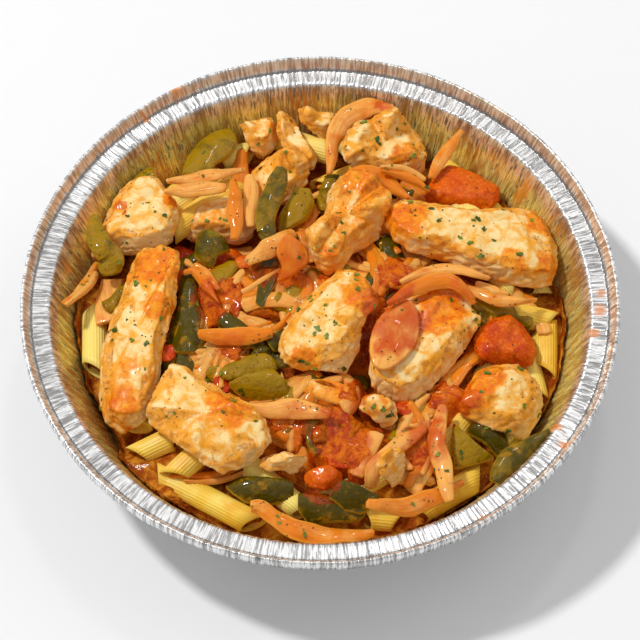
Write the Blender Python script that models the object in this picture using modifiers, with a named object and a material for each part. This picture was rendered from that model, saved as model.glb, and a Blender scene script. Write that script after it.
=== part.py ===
"""Foil tray meal: a round foil tray heaped with penne, chicken, green pepper, onion and tomato.

The tray is a turned sheet. The pasta bed is one heap with the tubes that show fused on.
Every larger piece of food is a solid of its own, laid on the heap from the lowest to the highest.
Units: millimetres in the tables and functions, metres in the finished meshes.
"""
import math
import random

import bpy
import bmesh
import numpy as np
from mathutils import Vector, noise
from mathutils.bvhtree import BVHTree

MM = 0.001
OBJECT_NAME = "foil_tray_meal"

# Tray: radii and heights of its turned sheet
RIM_RADIUS = 114.5
RIM_HEIGHT = 46.5
LEDGE_HEIGHT = 41.5
LEDGE_INNER_RADIUS = 104.2
LEDGE_OUTER_RADIUS = 110.4
LEDGE_ROUND = 1.2
FOOT_RADIUS = 88.5
BASE_CORNER = 5.0
HEM_DROP = 4.6
HEEL_INSET = 1.6
HEEL_RISE = 1.2
LIP_TOP = 0.8
LIP_ROUND = 0.6
SHEET = 0.5
TURN_STEPS = 64
FACET = math.cos(math.pi / TURN_STEPS)

# The line of sight that the layout is read along: the table's places are seen at HEAP_LEVEL
EYE_TILT = math.radians(57.84)
EYE_DISTANCE = 1000.0
HEAP_LEVEL = 36.0

# The heap: its crown over the middle, its fall towards the wall, and the bed under the pieces
CROWN_HEIGHT = 43.0
CROWN_FALL = 12.0
CROWN_REACH = 92.0
BED_DEPTH = 9.0
BED_WALL_DROP = 9.0
BED_DROP_START = 76.0
BED_DROP_REACH = 22.0
BED_RADIUS = 96.0
BED_RINGS = 9
BED_STEPS = 48
BED_FLOOR = 0.9
BED_CLEAR = 0.7
GAP = 0.4
WALL_GAP = 0.5

# Penne
PENNE_RADIUS = 4.9
PENNE_BORE = 3.3
PENNE_SIDES = 12
PENNE_SLANT = 0.7
BORE_SHARE = 0.35
BORE_DEPTH = 6.0

# Parsley flakes fused to the chicken
FLAKE_COUNT = 30
FLAKE_RADIUS = 1.35
FLAKE_RISE = 0.45
FLAKE_SEED = 11

# Height map: cell size, cells a side, and a height above everything
CELL = 1.0
GRID = 240
HIGH = 90.0

# Outlines: how far each corner is cut back, and how far the rounded outline is let out again
CORNER_CUT = 0.16
OUTSET = 0.9

COLOURS = {
    "foil": ((0.86, 0.86, 0.87), 0.28, 1.0),
    "penne": ((0.86, 0.62, 0.16), 0.42, 0.0),
    "chicken": ((0.87, 0.60, 0.27), 0.5, 0.0),
    "pepper": ((0.22, 0.19, 0.02), 0.25, 0.0),
    "onion": ((0.78, 0.33, 0.08), 0.3, 0.0),
    "tomato": ((0.60, 0.09, 0.01), 0.25, 0.0),
}

# Penne in the bed: name, rise over the heap's surface, and the two ends of the axis
PENNE = [
    ("front_left", -3.0, (-62, -75), (-24, -93)),
    ("left_pair_a", -2.0, (-70, -66), (-53, -56)),
    ("left_pair_b", 0.5, (-54, -73), (-43, -61)),
    ("far_left", -5.0, (-92, 0), (-86, -28)),
    ("right_tip", -2.0, (73, -2), (95, -6)),
    ("right_upright", -5.0, (86, -9), (88, -29)),
    ("right_low", -8.0, (79, -24), (84, -39)),
    ("right_open", -8.0, (77, -38), (84, -45)),
    ("back_right", -5.0, (51, 68), (64, 62)),
    ("back_right_low", -7.0, (66, 54), (77, 43)),
    ("right_back", -7.0, (82, 11), (92, 8)),
    ("front_right_end", -4.0, (16, -90), (30, -94)),
    ("front_right", -3.0, (36, -91), (62, -77)),
    ("back_left", -5.0, (-42, 71), (-28, 73)),
    ("back_middle", -7.0, (1, 56), (13, 62)),
]


# Every piece of food but the penne is a row of one of two forms.
# chunk: name, food, rise over the heap's surface, thickness, outline as seen
# strip: name, food, rise, thickness, width, path as seen
CHUNKS = "chunk"
STRIPS = "strip"

# Small pieces that lie low in the heap and are part of the bed, in the same form as the pieces below
BED_BITS = [
    (CHUNKS, "pepper_dark_slice", "pepper", -6, 4,
     [(-54, -20), (-46, -17), (-39, -18), (-32, -22), (-38, -30), (-46, -31), (-55, -27)]),
    (CHUNKS, "pepper_right_dark", "pepper", -7, 4,
     [(61, -7), (60, 0), (65, 5), (72, 4), (75, 0), (72, -4), (66, -6)]),
    (CHUNKS, "pepper_inner_pair_a", "pepper", -5, 4,
     [(-33, 18), (-29, 22), (-24, 22), (-26, 13), (-25, 1), (-29, 2), (-29, 12)]),
    (CHUNKS, "pepper_inner_pair_b", "pepper", -3, 4,
     [(-23, 23), (-16, 24), (-16, 16), (-20, 6), (-22, 1), (-25, 3), (-24, 14)]),
    (CHUNKS, "tomato_left_inner", "tomato", -4, 5,
     [(-42, 19), (-36, 18), (-31, 9), (-32, 3), (-37, 6), (-42, 13)]),
    (CHUNKS, "onion_left_leaf", "onion", -6, 3,
     [(-85, 14), (-77, 14), (-77, 4), (-80, -5), (-86, -7), (-87, 2)]),
    (STRIPS, "onion_front_glassy", "onion", -5, 2.2, 8, [(41, -60), (39, -70), (34, -79)]),
    (CHUNKS, "tomato_front_saucy", "tomato", -3, 6,
     [(1, -48), (9, -46), (19, -50), (17, -58), (10, -65), (2, -69), (-3, -65), (0, -56)]),
    (CHUNKS, "pepper_front_upright", "pepper", -3, 4,
     [(-6, -50), (0, -48), (3, -55), (2, -62), (-2, -64), (-5, -58)]),
    (STRIPS, "onion_front_fan_a", "onion", -2.5, 2.2, 6, [(21, -54), (18, -63), (13, -73)]),
    (STRIPS, "onion_right_red", "onion", -6, 2.4, 5.5, [(63, -18), (54, -27), (46, -38), (41, -49)]),
    (CHUNKS, "chicken_small_middle", "chicken", -3, 8,
     [(-9, -35), (-4, -31), (3, -31), (11, -35), (11, -43), (4, -41), (-3, -38)]),
]

# The food over the bed, lowest first
PIECES = [
    (CHUNKS, "chicken_left_inner", "chicken", -5, 11,
     [(-54, 39), (-50, 47), (-42, 52), (-33, 53), (-26, 46), (-25, 38), (-29, 31), (-40, 32), (-52, 32)]),
    (CHUNKS, "pepper_back_left", "pepper", -3, 4,
     [(-55, 64), (-53, 73), (-48, 80), (-42, 85), (-36, 86), (-33, 80), (-36, 74), (-42, 69), (-43, 63)]),
    (CHUNKS, "chicken_top_left_a", "chicken", -2, 11,
     [(-29, 77), (-33, 84), (-28, 89), (-20, 91), (-17, 86), (-18, 79), (-20, 74), (-26, 73)]),
    (CHUNKS, "chicken_top_left_b", "chicken", -1, 11,
     [(-17, 90), (-12, 91), (-9, 86), (-6, 79), (-2, 72), (-2, 66), (-8, 68), (-14, 73), (-17, 80)]),
    (CHUNKS, "chicken_top_middle", "chicken", -2, 11,
     [(-9, 88), (-5, 94), (1, 96), (7, 95), (8, 86), (4, 79), (-2, 80), (-7, 84)]),
    (CHUNKS, "chicken_top_back", "chicken", -3, 10,
     [(11, 84), (14, 90), (24, 91), (33, 89), (36, 85), (30, 80), (17, 79)]),
    (CHUNKS, "chicken_behind_pepper", "chicken", -3, 10,
     [(-27, 62), (-22, 70), (-13, 71), (-6, 67), (-4, 60), (-9, 54), (-17, 49), (-23, 48), (-27, 55)]),
    (CHUNKS, "pepper_behind_onion", "pepper", -3, 4,
     [(-10, 58), (-4, 57), (-2, 49), (-5, 42), (-16, 36), (-16, 44), (-12, 52)]),
    (CHUNKS, "tomato_back_right", "tomato", -3, 9,
     [(41, 50), (44, 58), (51, 67), (61, 62), (71, 56), (70, 46), (56, 44)]),
    (CHUNKS, "pepper_left_upright", "pepper", -4, 4.5,
     [(-54, 15), (-49, 16), (-47, 5), (-46, -8), (-44, -15), (-48, -19), (-55, -19), (-58, -13), (-55, 0)]),
    (CHUNKS, "tomato_right", "tomato", -2, 9,
     [(59, -17), (62, -8), (70, -4), (76, -7), (82, -18), (80, -27), (69, -27), (60, -25)]),
    (CHUNKS, "pepper_front_right_b", "pepper", -4, 4,
     [(55, -55), (57, -51), (63, -51), (69, -54), (71, -62), (67, -66), (61, -61)]),
    (CHUNKS, "pepper_front_right_a", "pepper", -2.5, 4,
     [(50, -50), (54, -54), (60, -60), (65, -65), (60, -67), (50, -70), (49, -60)]),
    (STRIPS, "pepper_front_right_c", "pepper", 0, 3.6, 8, [(65, -75), (69, -67), (77, -61), (87, -53)]),
    (CHUNKS, "pepper_front_dark", "pepper", -5, 4,
     [(-35, -77), (-29, -73), (-20, -73), (-10, -75), (-10, -83), (-18, -85), (-28, -84)]),
    (CHUNKS, "pepper_front_middle", "pepper", -4, 4,
     [(-8, -80), (2, -81), (9, -86), (17, -88), (13, -92), (4, -93), (-4, -93), (-8, -88)]),
    (CHUNKS, "tomato_front_dark", "tomato", -2, 6,
     [(-6, -71), (5, -69), (9, -74), (5, -79), (1, -82), (-4, -78)]),
    (STRIPS, "onion_front_fan_b", "onion", -2, 2.2, 5.5, [(40, -52), (30, -59), (21, -68), (19, -78)]),
    (CHUNKS, "chicken_front_nugget", "chicken", 0, 8,
     [(22, -70), (26, -67), (30, -66), (31, -71), (28, -78), (24, -80), (21, -75)]),
    (CHUNKS, "pepper_front_square", "pepper", -1, 4,
     [(7, -75), (13, -76), (21, -80), (22, -84), (15, -88), (9, -87), (3, -82)]),
    (STRIPS, "onion_front_banana", "onion", -2.5, 2.6, 7.5,
     [(-26, -84), (-16, -90), (-5, -95.5), (7, -97.5), (20, -95)]),
    (STRIPS, "onion_front_sweep", "onion", 0, 2.6, 6.5, [(17, -83), (28, -85.5), (41, -82), (53, -74)]),
    (STRIPS, "onion_front_upright", "onion", 1, 2.8, 6.5, [(47, -42), (43.5, -53), (45, -68), (48, -83)]),
    (CHUNKS, "chicken_wedge_front", "chicken", -1, 9,
     [(-23, -67), (-19, -65), (-13, -63), (-8, -66), (-3, -69), (-9, -72), (-20, -74)]),
    (STRIPS, "onion_left_stick", "onion", -2.5, 2.6, 5, [(-86, 22), (-91, 11), (-99, 3)]),
    (CHUNKS, "pepper_left_leaf", "pepper", -2, 3.6,
     [(-77, 54), (-75, 64), (-71, 71), (-67, 67), (-65, 58)]),
    (CHUNKS, "chicken_upper_left", "chicken", 1, 14,
     [(-95, 31), (-91, 41), (-81, 51), (-70, 60), (-64, 59), (-58, 50), (-57, 37), (-61, 30),
      (-71, 26), (-80, 28), (-89, 23)]),
    (STRIPS, "pepper_over_chicken", "pepper", 2.5, 3.4, 8.5, [(-88, 45), (-88, 37), (-84, 27), (-80, 16)]),
    (CHUNKS, "pepper_curl", "pepper", 0, 5,
     [(-49, 25), (-48, 35), (-44, 37), (-38, 34), (-35, 28), (-40, 26), (-42, 20)]),
    (STRIPS, "onion_back_left_a", "onion", -0.5, 2.6, 5.5, [(-61, 60), (-48, 63), (-30, 67)]),
    (STRIPS, "onion_back_left_b", "onion", 0.5, 2.6, 6.5, [(-62, 55), (-50, 57), (-37, 58)]),
    (STRIPS, "onion_inner_hook", "onion", 0, 2.6, 5.5, [(-54, 18), (-48, 20), (-43, 13), (-38, 4)]),
    (STRIPS, "onion_upright_a", "onion", 2, 2.4, 5.5, [(-34, 62), (-34, 51), (-33, 41), (-34, 33)]),
    (STRIPS, "onion_upright_b", "onion", 2.2, 2.4, 5, [(-28, 64), (-27.5, 52), (-27, 39)]),
    (STRIPS, "pepper_glossy_upright", "pepper", 2.5, 3.4, 7.5, [(-15.5, 68), (-18, 57), (-21, 46), (-22, 32)]),
    (STRIPS, "onion_back_arc", "onion", 3, 3.0, 7,
     [(30, 98), (19, 97), (10, 92), (6, 82), (5, 72), (4, 64)]),
    (CHUNKS, "chicken_top_round", "chicken", 3, 13,
     [(9, 66), (10, 75), (14, 82), (22, 86), (32, 87), (38, 83), (41, 75), (42, 66), (35, 62), (22, 61),
      (12, 62)]),
    (STRIPS, "onion_back_stick", "onion", 1, 2.6, 4.5, [(57, 86), (51, 76), (44, 62)]),
    (STRIPS, "onion_middle_back_a", "onion", 4, 2.4, 7, [(11, 65), (18, 66), (27, 60), (35, 52)]),
    (STRIPS, "onion_middle_back_b", "onion", 5.5, 2.4, 5, [(24, 66), (33, 65.5), (40, 61), (44, 56)]),
    (STRIPS, "onion_middle_left", "onion", 0, 2.8, 6.5, [(-47, -11), (-38, -11), (-28, -12), (-18, -10)]),
    (STRIPS, "pepper_middle_a", "pepper", -1, 3.6, 8, [(-37, -30), (-30, -26), (-24, -23), (-17, -22)]),
    (CHUNKS, "pepper_middle_b", "pepper", 0, 4.5,
     [(-35, -33), (-28, -29), (-18, -27), (-14, -31), (-12, -37), (-18, -39), (-29, -38)]),
    (STRIPS, "onion_middle_front", "onion", 0.5, 2.8, 7, [(-28, -43), (-18, -43.5), (-8, -44), (4, -46.5)]),
    (STRIPS, "onion_inner_bar", "onion", 1.5, 2.6, 6.5, [(-29, 23), (-20, 29), (-10, 37)]),
    (CHUNKS, "onion_inner_leaf", "onion", 2.5, 3,
     [(-13, 35), (-17, 27), (-15, 20), (-16, 13), (-10, 17), (-5, 22), (-6, 29)]),
    (CHUNKS, "chicken_long_left", "chicken", 3, 14,
     [(-72, 25), (-63, 28), (-56, 29), (-55, 18), (-56, 0), (-59, -14), (-62, -30), (-64, -48),
      (-71, -55), (-80, -51), (-83, -36), (-82, -20), (-79, -4), (-74, 10)]),
    (CHUNKS, "chicken_lower_left", "chicken", 3, 13,
     [(-58, -27), (-52, -27), (-44, -34), (-35, -40), (-27, -45), (-20, -52), (-19, -64), (-27, -69),
      (-33, -76), (-43, -73), (-54, -63), (-65, -53), (-61, -41)]),
    (CHUNKS, "chicken_broad_fillet", "chicken", 2.5, 12,
     [(25, 46), (31, 50), (44, 49), (60, 45), (73, 46), (83, 47), (89, 40), (92, 24), (91, 11),
      (79, 11), (67, 14), (58, 18), (47, 24), (36, 27), (28, 35)]),
    (CHUNKS, "chicken_right_slab", "chicken", 2, 14,
     [(27, 2), (38, 7), (50, 9), (57, 3), (62, -8), (55, -19), (46, -31), (37, -40), (29, -41),
      (21, -36), (19, -25), (19, -10)]),
    (CHUNKS, "chicken_centre_nugget", "chicken", 1, 9,
     [(15, -40), (20, -38), (27, -41), (29, -46), (26, -52), (20, -51), (16, -46)]),
    (CHUNKS, "onion_round_slice", "onion", 4.5, 3,
     [(19, -14), (22, -5), (29, 2), (35, 4), (38, -4), (37, -14), (32, -22), (25, -27), (20, -24)]),
    (STRIPS, "onion_right_low", "onion", 0.5, 2.8, 7, [(55, 13), (63, 9), (72, 5.5), (83, 6)]),
    (STRIPS, "onion_right_arch_a", "onion", 4.5, 2.8, 5.5, [(31, 13), (40, 18), (52, 20), (66, 15)]),
    (STRIPS, "onion_right_arch_b", "onion", 5.5, 2.8, 5.5, [(26, 3), (36, 9.5), (48, 13.5), (56, 10), (60, 3)]),
    (CHUNKS, "chicken_lower_right", "chicken", 4, 13,
     [(51, -45), (57, -36), (60, -29), (67, -26), (75, -24), (84, -37), (82, -47), (76, -58), (70, -58),
      (60, -52)]),
    (CHUNKS, "chicken_centre_back", "chicken", 4, 13,
     [(-5, 33), (1, 40), (4, 49), (4, 56), (12, 60), (20, 59), (25, 53), (28, 46), (26, 37), (18, 30),
      (12, 27), (10, 20), (4, 16), (-3, 21)]),
    (CHUNKS, "chicken_centre", "chicken", 5, 14,
     [(-5, 3), (2, 12), (9, 18), (15, 16), (20, 8), (22, -2), (17, -9), (14, -18), (9, -29), (-3, -30),
      (-14, -28), (-16, -16), (-11, -5)]),
]


def clear_scene():
    for thing in list(bpy.data.objects):
        bpy.data.objects.remove(thing, do_unlink=True)


def make_material(food):
    colour, roughness, metallic = COLOURS[food]
    material = bpy.data.materials.new(food)
    material.use_nodes = True
    shader = material.node_tree.nodes["Principled BSDF"]
    shader.inputs["Base Color"].default_value = (*colour, 1.0)
    shader.inputs["Roughness"].default_value = roughness
    shader.inputs["Metallic"].default_value = metallic
    return material


def add_object(name, verts, faces, material, collection):
    mesh = bpy.data.meshes.new(name)
    mesh.from_pydata([tuple(c * MM for c in v) for v in verts], [], faces)
    mesh.validate()
    thing = bpy.data.objects.new(name, mesh)
    thing.data.materials.append(material)
    collection.objects.link(thing)
    return thing


def heap_surface(x, y):
    return CROWN_HEIGHT - CROWN_FALL * (x * x + y * y) / CROWN_REACH ** 2


def along_sight(x, y, z):
    """The place at height z that looks the same as (x, y) at HEAP_LEVEL."""
    eye_y = -EYE_DISTANCE * math.cos(EYE_TILT)
    eye_z = LEDGE_HEIGHT + EYE_DISTANCE * math.sin(EYE_TILT)
    t = (eye_z - z) / (eye_z - HEAP_LEVEL)
    return x * t, eye_y + (y - eye_y) * t


def wall_radius(z):
    """The largest radius that food may reach inside the faceted wall at height z."""
    rise = min(max((z - BASE_CORNER) / (LEDGE_HEIGHT - LEDGE_ROUND - BASE_CORNER), 0.0), 1.0)
    radius = FOOT_RADIUS + rise * (LEDGE_INNER_RADIUS - LEDGE_ROUND - FOOT_RADIUS)
    if z < BASE_CORNER:
        radius -= (BASE_CORNER - z) * 0.8
    return radius * FACET - WALL_GAP


def inside_wall(v):
    radius = math.hypot(v[0], v[1])
    limit = wall_radius(v[2])
    if radius <= limit:
        return v
    return (v[0] * limit / radius, v[1] * limit / radius, v[2])


class Heap:
    """What has been laid so far: a height map of its top, and the exact surfaces."""

    def __init__(self):
        self.top = np.full((GRID, GRID), -HIGH)
        self.under = np.full((GRID, GRID), HIGH)
        self.rest = np.full((GRID, GRID), -HIGH)
        self.surfaces = []
        self.over = []

    def cells(self, low, high):
        first = int(max(math.floor(low / CELL) + GRID // 2, 0))
        last = int(min(math.ceil(high / CELL) + GRID // 2, GRID - 1))
        return range(first, last + 1)

    def block(self, field, x, y, reach):
        across = self.cells(x - reach, x + reach)
        along = self.cells(y - reach, y + reach)
        return field[across.start:across.stop, along.start:along.stop]

    def top_near(self, x, y, reach):
        return float(self.block(self.top, x, y, reach).max())

    def under_near(self, x, y, reach):
        return float(self.block(self.under, x, y, reach).min())

    def add(self, verts, faces, over_bed=True):
        surface = BVHTree.FromPolygons([Vector(v) for v in verts], faces)
        self.surfaces.append(surface)
        if over_bed:
            self.over.append(surface)
        places = np.array(verts)
        low = places.min(axis=0)
        high = places.max(axis=0)
        for i in self.cells(low[0], high[0]):
            for j in self.cells(low[1], high[1]):
                x = (i - GRID // 2) * CELL
                y = (j - GRID // 2) * CELL
                hit = surface.ray_cast(Vector((x, y, HIGH)), Vector((0, 0, -1)))
                if hit[0] is None:
                    continue
                self.top[i, j] = max(self.top[i, j], hit[0].z)
                up = surface.ray_cast(Vector((x, y, -HIGH)), Vector((0, 0, 1)))
                if over_bed:
                    self.under[i, j] = min(self.under[i, j], up[0].z)
                else:
                    self.rest[i, j] = max(self.rest[i, j], (up[0].z + hit[0].z) / 2)
        return surface

    def touches(self, verts, faces):
        grown = grow(verts, faces, GAP)
        surface = BVHTree.FromPolygons([Vector(v) for v in grown], faces)
        return any(surface.overlap(other) for other in self.surfaces)


def grow(verts, faces, amount):
    """The same mesh with every corner moved out by amount."""
    places = np.array(verts)
    out = np.zeros_like(places)
    for face in faces:
        a, b, c = (places[face[0]], places[face[1]], places[face[2]])
        normal = np.cross(b - a, c - a)
        for corner in face:
            out[corner] += normal
    length = np.linalg.norm(out, axis=1, keepdims=True)
    return places + amount * out / np.maximum(length, 1e-9)


def smooth_loop(points, count):
    """A rounded closed outline with count evenly spaced points, anticlockwise."""
    loop = [Vector(p) for p in points]
    for _ in range(2):
        cut = []
        for here, after in zip(loop, loop[1:] + loop[:1]):
            cut.append(here.lerp(after, CORNER_CUT))
            cut.append(here.lerp(after, 1 - CORNER_CUT))
        loop = cut
    loop = spaced(loop + [loop[0]], count, closed=True)
    area = sum(a.x * b.y - b.x * a.y for a, b in zip(loop, loop[1:] + loop[:1]))
    if area < 0:
        loop.reverse()
    return loop


def spaced(points, count, closed=False):
    lengths = [0.0]
    for here, after in zip(points, points[1:]):
        lengths.append(lengths[-1] + (after - here).length)
    steps = count if closed else count - 1
    result = []
    for k in range(count):
        goal = lengths[-1] * k / steps
        n = max(i for i in range(len(points) - 1) if lengths[i] <= goal + 1e-9)
        span = max(lengths[n + 1] - lengths[n], 1e-9)
        result.append(points[n].lerp(points[n + 1], (goal - lengths[n]) / span))
    return result


def smooth_path(points, count):
    """A smooth open path through the points."""
    path = [Vector(p) for p in points]
    fine = []
    for k in range(len(path) - 1):
        a = path[max(k - 1, 0)]
        b = path[k]
        c = path[k + 1]
        d = path[min(k + 2, len(path) - 1)]
        for s in range(8):
            t = s / 8
            fine.append(0.5 * ((2 * b) + (c - a) * t + (2 * a - 5 * b + 4 * c - d) * t * t
                               + (3 * b - a - 3 * c + d) * t ** 3))
    fine.append(path[-1])
    return spaced(fine, count)


def ring_faces(first, second, count):
    faces = []
    for i in range(count):
        j = (i + 1) % count
        faces.append((first + i, first + j, second + j))
        faces.append((first + i, second + j, second + i))
    return faces


# A slab's form: food: outline points to 10 mm of edge, shoulder inset, crown height, lumps
CHUNK_LOOK = {
    "chicken": (1.9, 2.6, 1.6, 1.5),
    "tomato": (1.7, 2.0, 1.6, 0.6),
    "pepper": (1.7, 1.1, 1.3, 0.4),
    "onion": (1.7, 0.8, 0.8, 0.3),
}
FEWEST_POINTS = 10
MOST_POINTS = 24

# Shares of a slab's thickness and outline
GIRTH_DROP = 0.5
GIRTH_LEAN = 0.28
SHOULDER_DROP = 0.12
INNER_RING = 0.62
FOOT_INSET = 0.8
MOST_INSET = 0.7
TIP_INSET = 0.42
LEAST_KEPT = 0.55
MOST_KEPT = 5.0
GIRTH_SHARE = 0.3
SHOULDER_SHARE = 0.35
LUMP_SIZE = 8.5

# What meets the wall leans up against it
LEAN_STEP = 0.5
LEAN_LIMIT = 5.0
LEAN_ROOM = 0.35
WALL_SHARE = 0.3


def build_chunk(heap, food, rise, thick, outline, seed):
    """A slab of food: a foot, a girth, a shoulder and a lumpy top over a rounded outline."""
    density, inset, crown, lumps = CHUNK_LOOK[food]
    edge = sum((Vector(b) - Vector(a)).length for a, b in zip(outline, outline[1:] + outline[:1]))
    count = int(min(max(edge * density / 10, FEWEST_POINTS), MOST_POINTS))
    loop = smooth_loop(outline, count)
    middle = sum(loop, Vector((0, 0))) / count
    level = heap_surface(middle.x, middle.y) + rise
    slope = Vector((-2 * CROWN_FALL * middle.x, -2 * CROWN_FALL * middle.y)) / CROWN_REACH ** 2
    normals = []
    for k in range(count):
        along = loop[(k + 1) % count] - loop[k - 1]
        normals.append(Vector((along.y, -along.x)).normalized())
    loop = [p + n * OUTSET for p, n in zip(loop, normals)]
    area = sum(a.x * b.y - b.x * a.y for a, b in zip(loop, loop[1:] + loop[:1])) / 2
    inset = min(inset, MOST_INSET * area / edge)

    def top_at(p):
        return level + slope.dot(p - middle)

    def girth_at(p, n):
        z = top_at(p) - thick * (GIRTH_DROP - GIRTH_LEAN * n.y)
        x, y = along_sight(p.x, p.y, z)
        return Vector((x, y, z))

    def outside(g):
        return math.hypot(g.x, g.y) - wall_radius(g.z - thick * WALL_SHARE)

    def lump(p):
        return lumps * noise.noise(Vector((p.x / LUMP_SIZE, p.y / LUMP_SIZE, seed * 7.3)))

    highest = level + LEAN_LIMIT
    girth = [girth_at(p, n) for p, n in zip(loop, normals)]
    while max(outside(g) for g in girth) > 0 and level < highest:
        level += LEAN_STEP
        girth = [girth_at(p, n) for p, n in zip(loop, normals)]
    for g in girth:
        radius = math.hypot(g.x, g.y)
        pull = max(outside(g), 0) / radius
        g.x -= g.x * pull
        g.y -= g.y * pull
    centre = sum(girth, Vector((0, 0, 0))) / count
    flat_centre = Vector((centre.x, centre.y))
    foot = []
    shoulder = []
    inner = []
    for k, (g, n) in enumerate(zip(girth, normals)):
        here = Vector((g.x, g.y))
        near = min((girth[k - 1] - g).xy.length, (girth[(k + 1) % count] - g).xy.length)
        pull = min(inset, near * TIP_INSET)
        pulled = here - n * pull * FOOT_INSET
        foot.append([pulled.x, pulled.y, top_at(pulled) - thick])
        pulled = here - n * pull
        shoulder.append([pulled.x, pulled.y, top_at(pulled) - thick * SHOULDER_DROP + lump(pulled)])
        pulled = flat_centre + (here - flat_centre) * INNER_RING
        inner.append([pulled.x, pulled.y, top_at(pulled) + crown * 0.7 + lump(pulled) * 1.4])
    girth = [list(g) for g in girth]
    base = [[flat_centre.x, flat_centre.y, top_at(flat_centre) - thick]]
    peak = [[flat_centre.x, flat_centre.y, top_at(flat_centre) + crown + lump(flat_centre)]]

    reach = edge / count * 0.55
    keep = min(thick * LEAST_KEPT, MOST_KEPT)
    for k in range(count):
        floor = heap.top_near(foot[k][0], foot[k][1], reach) + GAP
        foot[k][2] = max(foot[k][2], floor)
        floor = heap.top_near(girth[k][0], girth[k][1], CELL) + GAP
        girth[k][2] = max(girth[k][2], foot[k][2] + keep * GIRTH_SHARE, floor)
        shoulder[k][2] = max(shoulder[k][2], girth[k][2] + keep * SHOULDER_SHARE)
        inner[k][2] = max(inner[k][2], foot[k][2] + keep)
    base[0][2] = sum(corner[2] for corner in foot) / count
    peak[0][2] = max(peak[0][2], base[0][2] + keep)

    verts = foot + girth + shoulder + inner + [base[0], peak[0]]
    n = count
    faces = [((k + 1) % n, k, 4 * n) for k in range(n)]
    for level_index in range(3):
        faces += ring_faces(level_index * n, (level_index + 1) * n, n)
    faces += [(3 * n + k, 3 * n + (k + 1) % n, 4 * n + 1) for k in range(n)]
    return verts, faces


# A strip's form: its section, the spacing of the sections, and how they narrow at the ends
STRIP_SIDES = 6
STRIP_SPACING = 4.2
FEWEST_SECTIONS = 6
MOST_SECTIONS = 14
END_TAPER = (0.55, 0.88)
BOW = 0.45
EDGE_DROP = 0.35
TOP_SHARE = 0.93
SAG = 0.15



def build_strip(heap, rise, thick, width, path, seed):
    """A bowed strip: six-sided sections along a path, draped over what lies below."""
    length = sum((Vector(b) - Vector(a)).length for a, b in zip(path, path[1:]))
    count = int(min(max(length / STRIP_SPACING, FEWEST_SECTIONS), MOST_SECTIONS))
    line = smooth_path(path, count)
    heights = []
    for p in line:
        level = heap_surface(p.x, p.y) + rise
        x, y = along_sight(p.x, p.y, level)
        while math.hypot(x, y) > wall_radius(level - thick) - width * LEAN_ROOM and level < LEDGE_HEIGHT:
            level += LEAN_STEP
            x, y = along_sight(p.x, p.y, level)
        heights.append(max(level, heap.top_near(x, y, width * 0.55) + thick * 1.1 + GAP))
    for _ in range(12):
        for k in range(1, count - 1):
            heights[k] = max(heights[k], (heights[k - 1] + heights[k + 1]) / 2 - SAG)
    places = []
    for p, z in zip(line, heights):
        x, y = along_sight(p.x, p.y, z)
        places.append(Vector((x, y, z)))
    verts = []
    for k in range(count):
        along = places[min(k + 1, count - 1)] - places[max(k - 1, 0)]
        side = Vector((along.y, -along.x, 0)).normalized()
        end = min(k, count - 1 - k)
        taper = END_TAPER[end] if end < len(END_TAPER) else 1.0
        half = width / 2 * taper * (1 + 0.08 * noise.noise(Vector((k * 0.7, seed * 3.1, 0))))
        bow = thick * BOW
        here = places[k]
        edge_low = Vector((0, 0, bow + thick * EDGE_DROP))
        edge_high = Vector((0, 0, bow * 0.8))
        verts.append(here - side * half - edge_low)
        verts.append(here - Vector((0, 0, thick)))
        verts.append(here + side * half - edge_low)
        verts.append(here + side * half * TOP_SHARE - edge_high)
        verts.append(here)
        verts.append(here - side * half * TOP_SHARE - edge_high)
    faces = []
    for k in range(count - 1):
        faces += ring_faces(k * STRIP_SIDES, (k + 1) * STRIP_SIDES, STRIP_SIDES)
    last = (count - 1) * STRIP_SIDES
    faces += [(0, 4, 5), (0, 1, 4), (1, 3, 4), (1, 2, 3)]
    faces += [(last, last + 5, last + 4), (last, last + 4, last + 1),
              (last + 1, last + 4, last + 3), (last + 1, last + 3, last + 2)]
    return [list(v) for v in verts], faces


def outward(verts, faces):
    """The faces turned so that they all point out."""
    mesh = bmesh.new()
    corners = [mesh.verts.new(v) for v in verts]
    for face in faces:
        mesh.faces.new([corners[i] for i in face])
    bmesh.ops.recalc_face_normals(mesh, faces=mesh.faces)
    mesh.verts.index_update()
    turned = [tuple(v.index for v in face.verts) for face in mesh.faces]
    mesh.free()
    return turned


# Steps in which the bed is lowered and a piece is raised until they are clear
CLEAR_STEP = 0.5
CLEAR_ROUNDS = 30
RAISE_STEP = 0.4
RAISE_LIMIT = 40


def settle(heap, verts, faces):
    """Lifts a piece in small steps until it is clear of everything below it."""
    for step in range(RAISE_LIMIT):
        placed = [inside_wall((v[0], v[1], v[2] + step * RAISE_STEP)) for v in verts]
        if not heap.touches(placed, faces):
            break
    return placed


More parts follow.
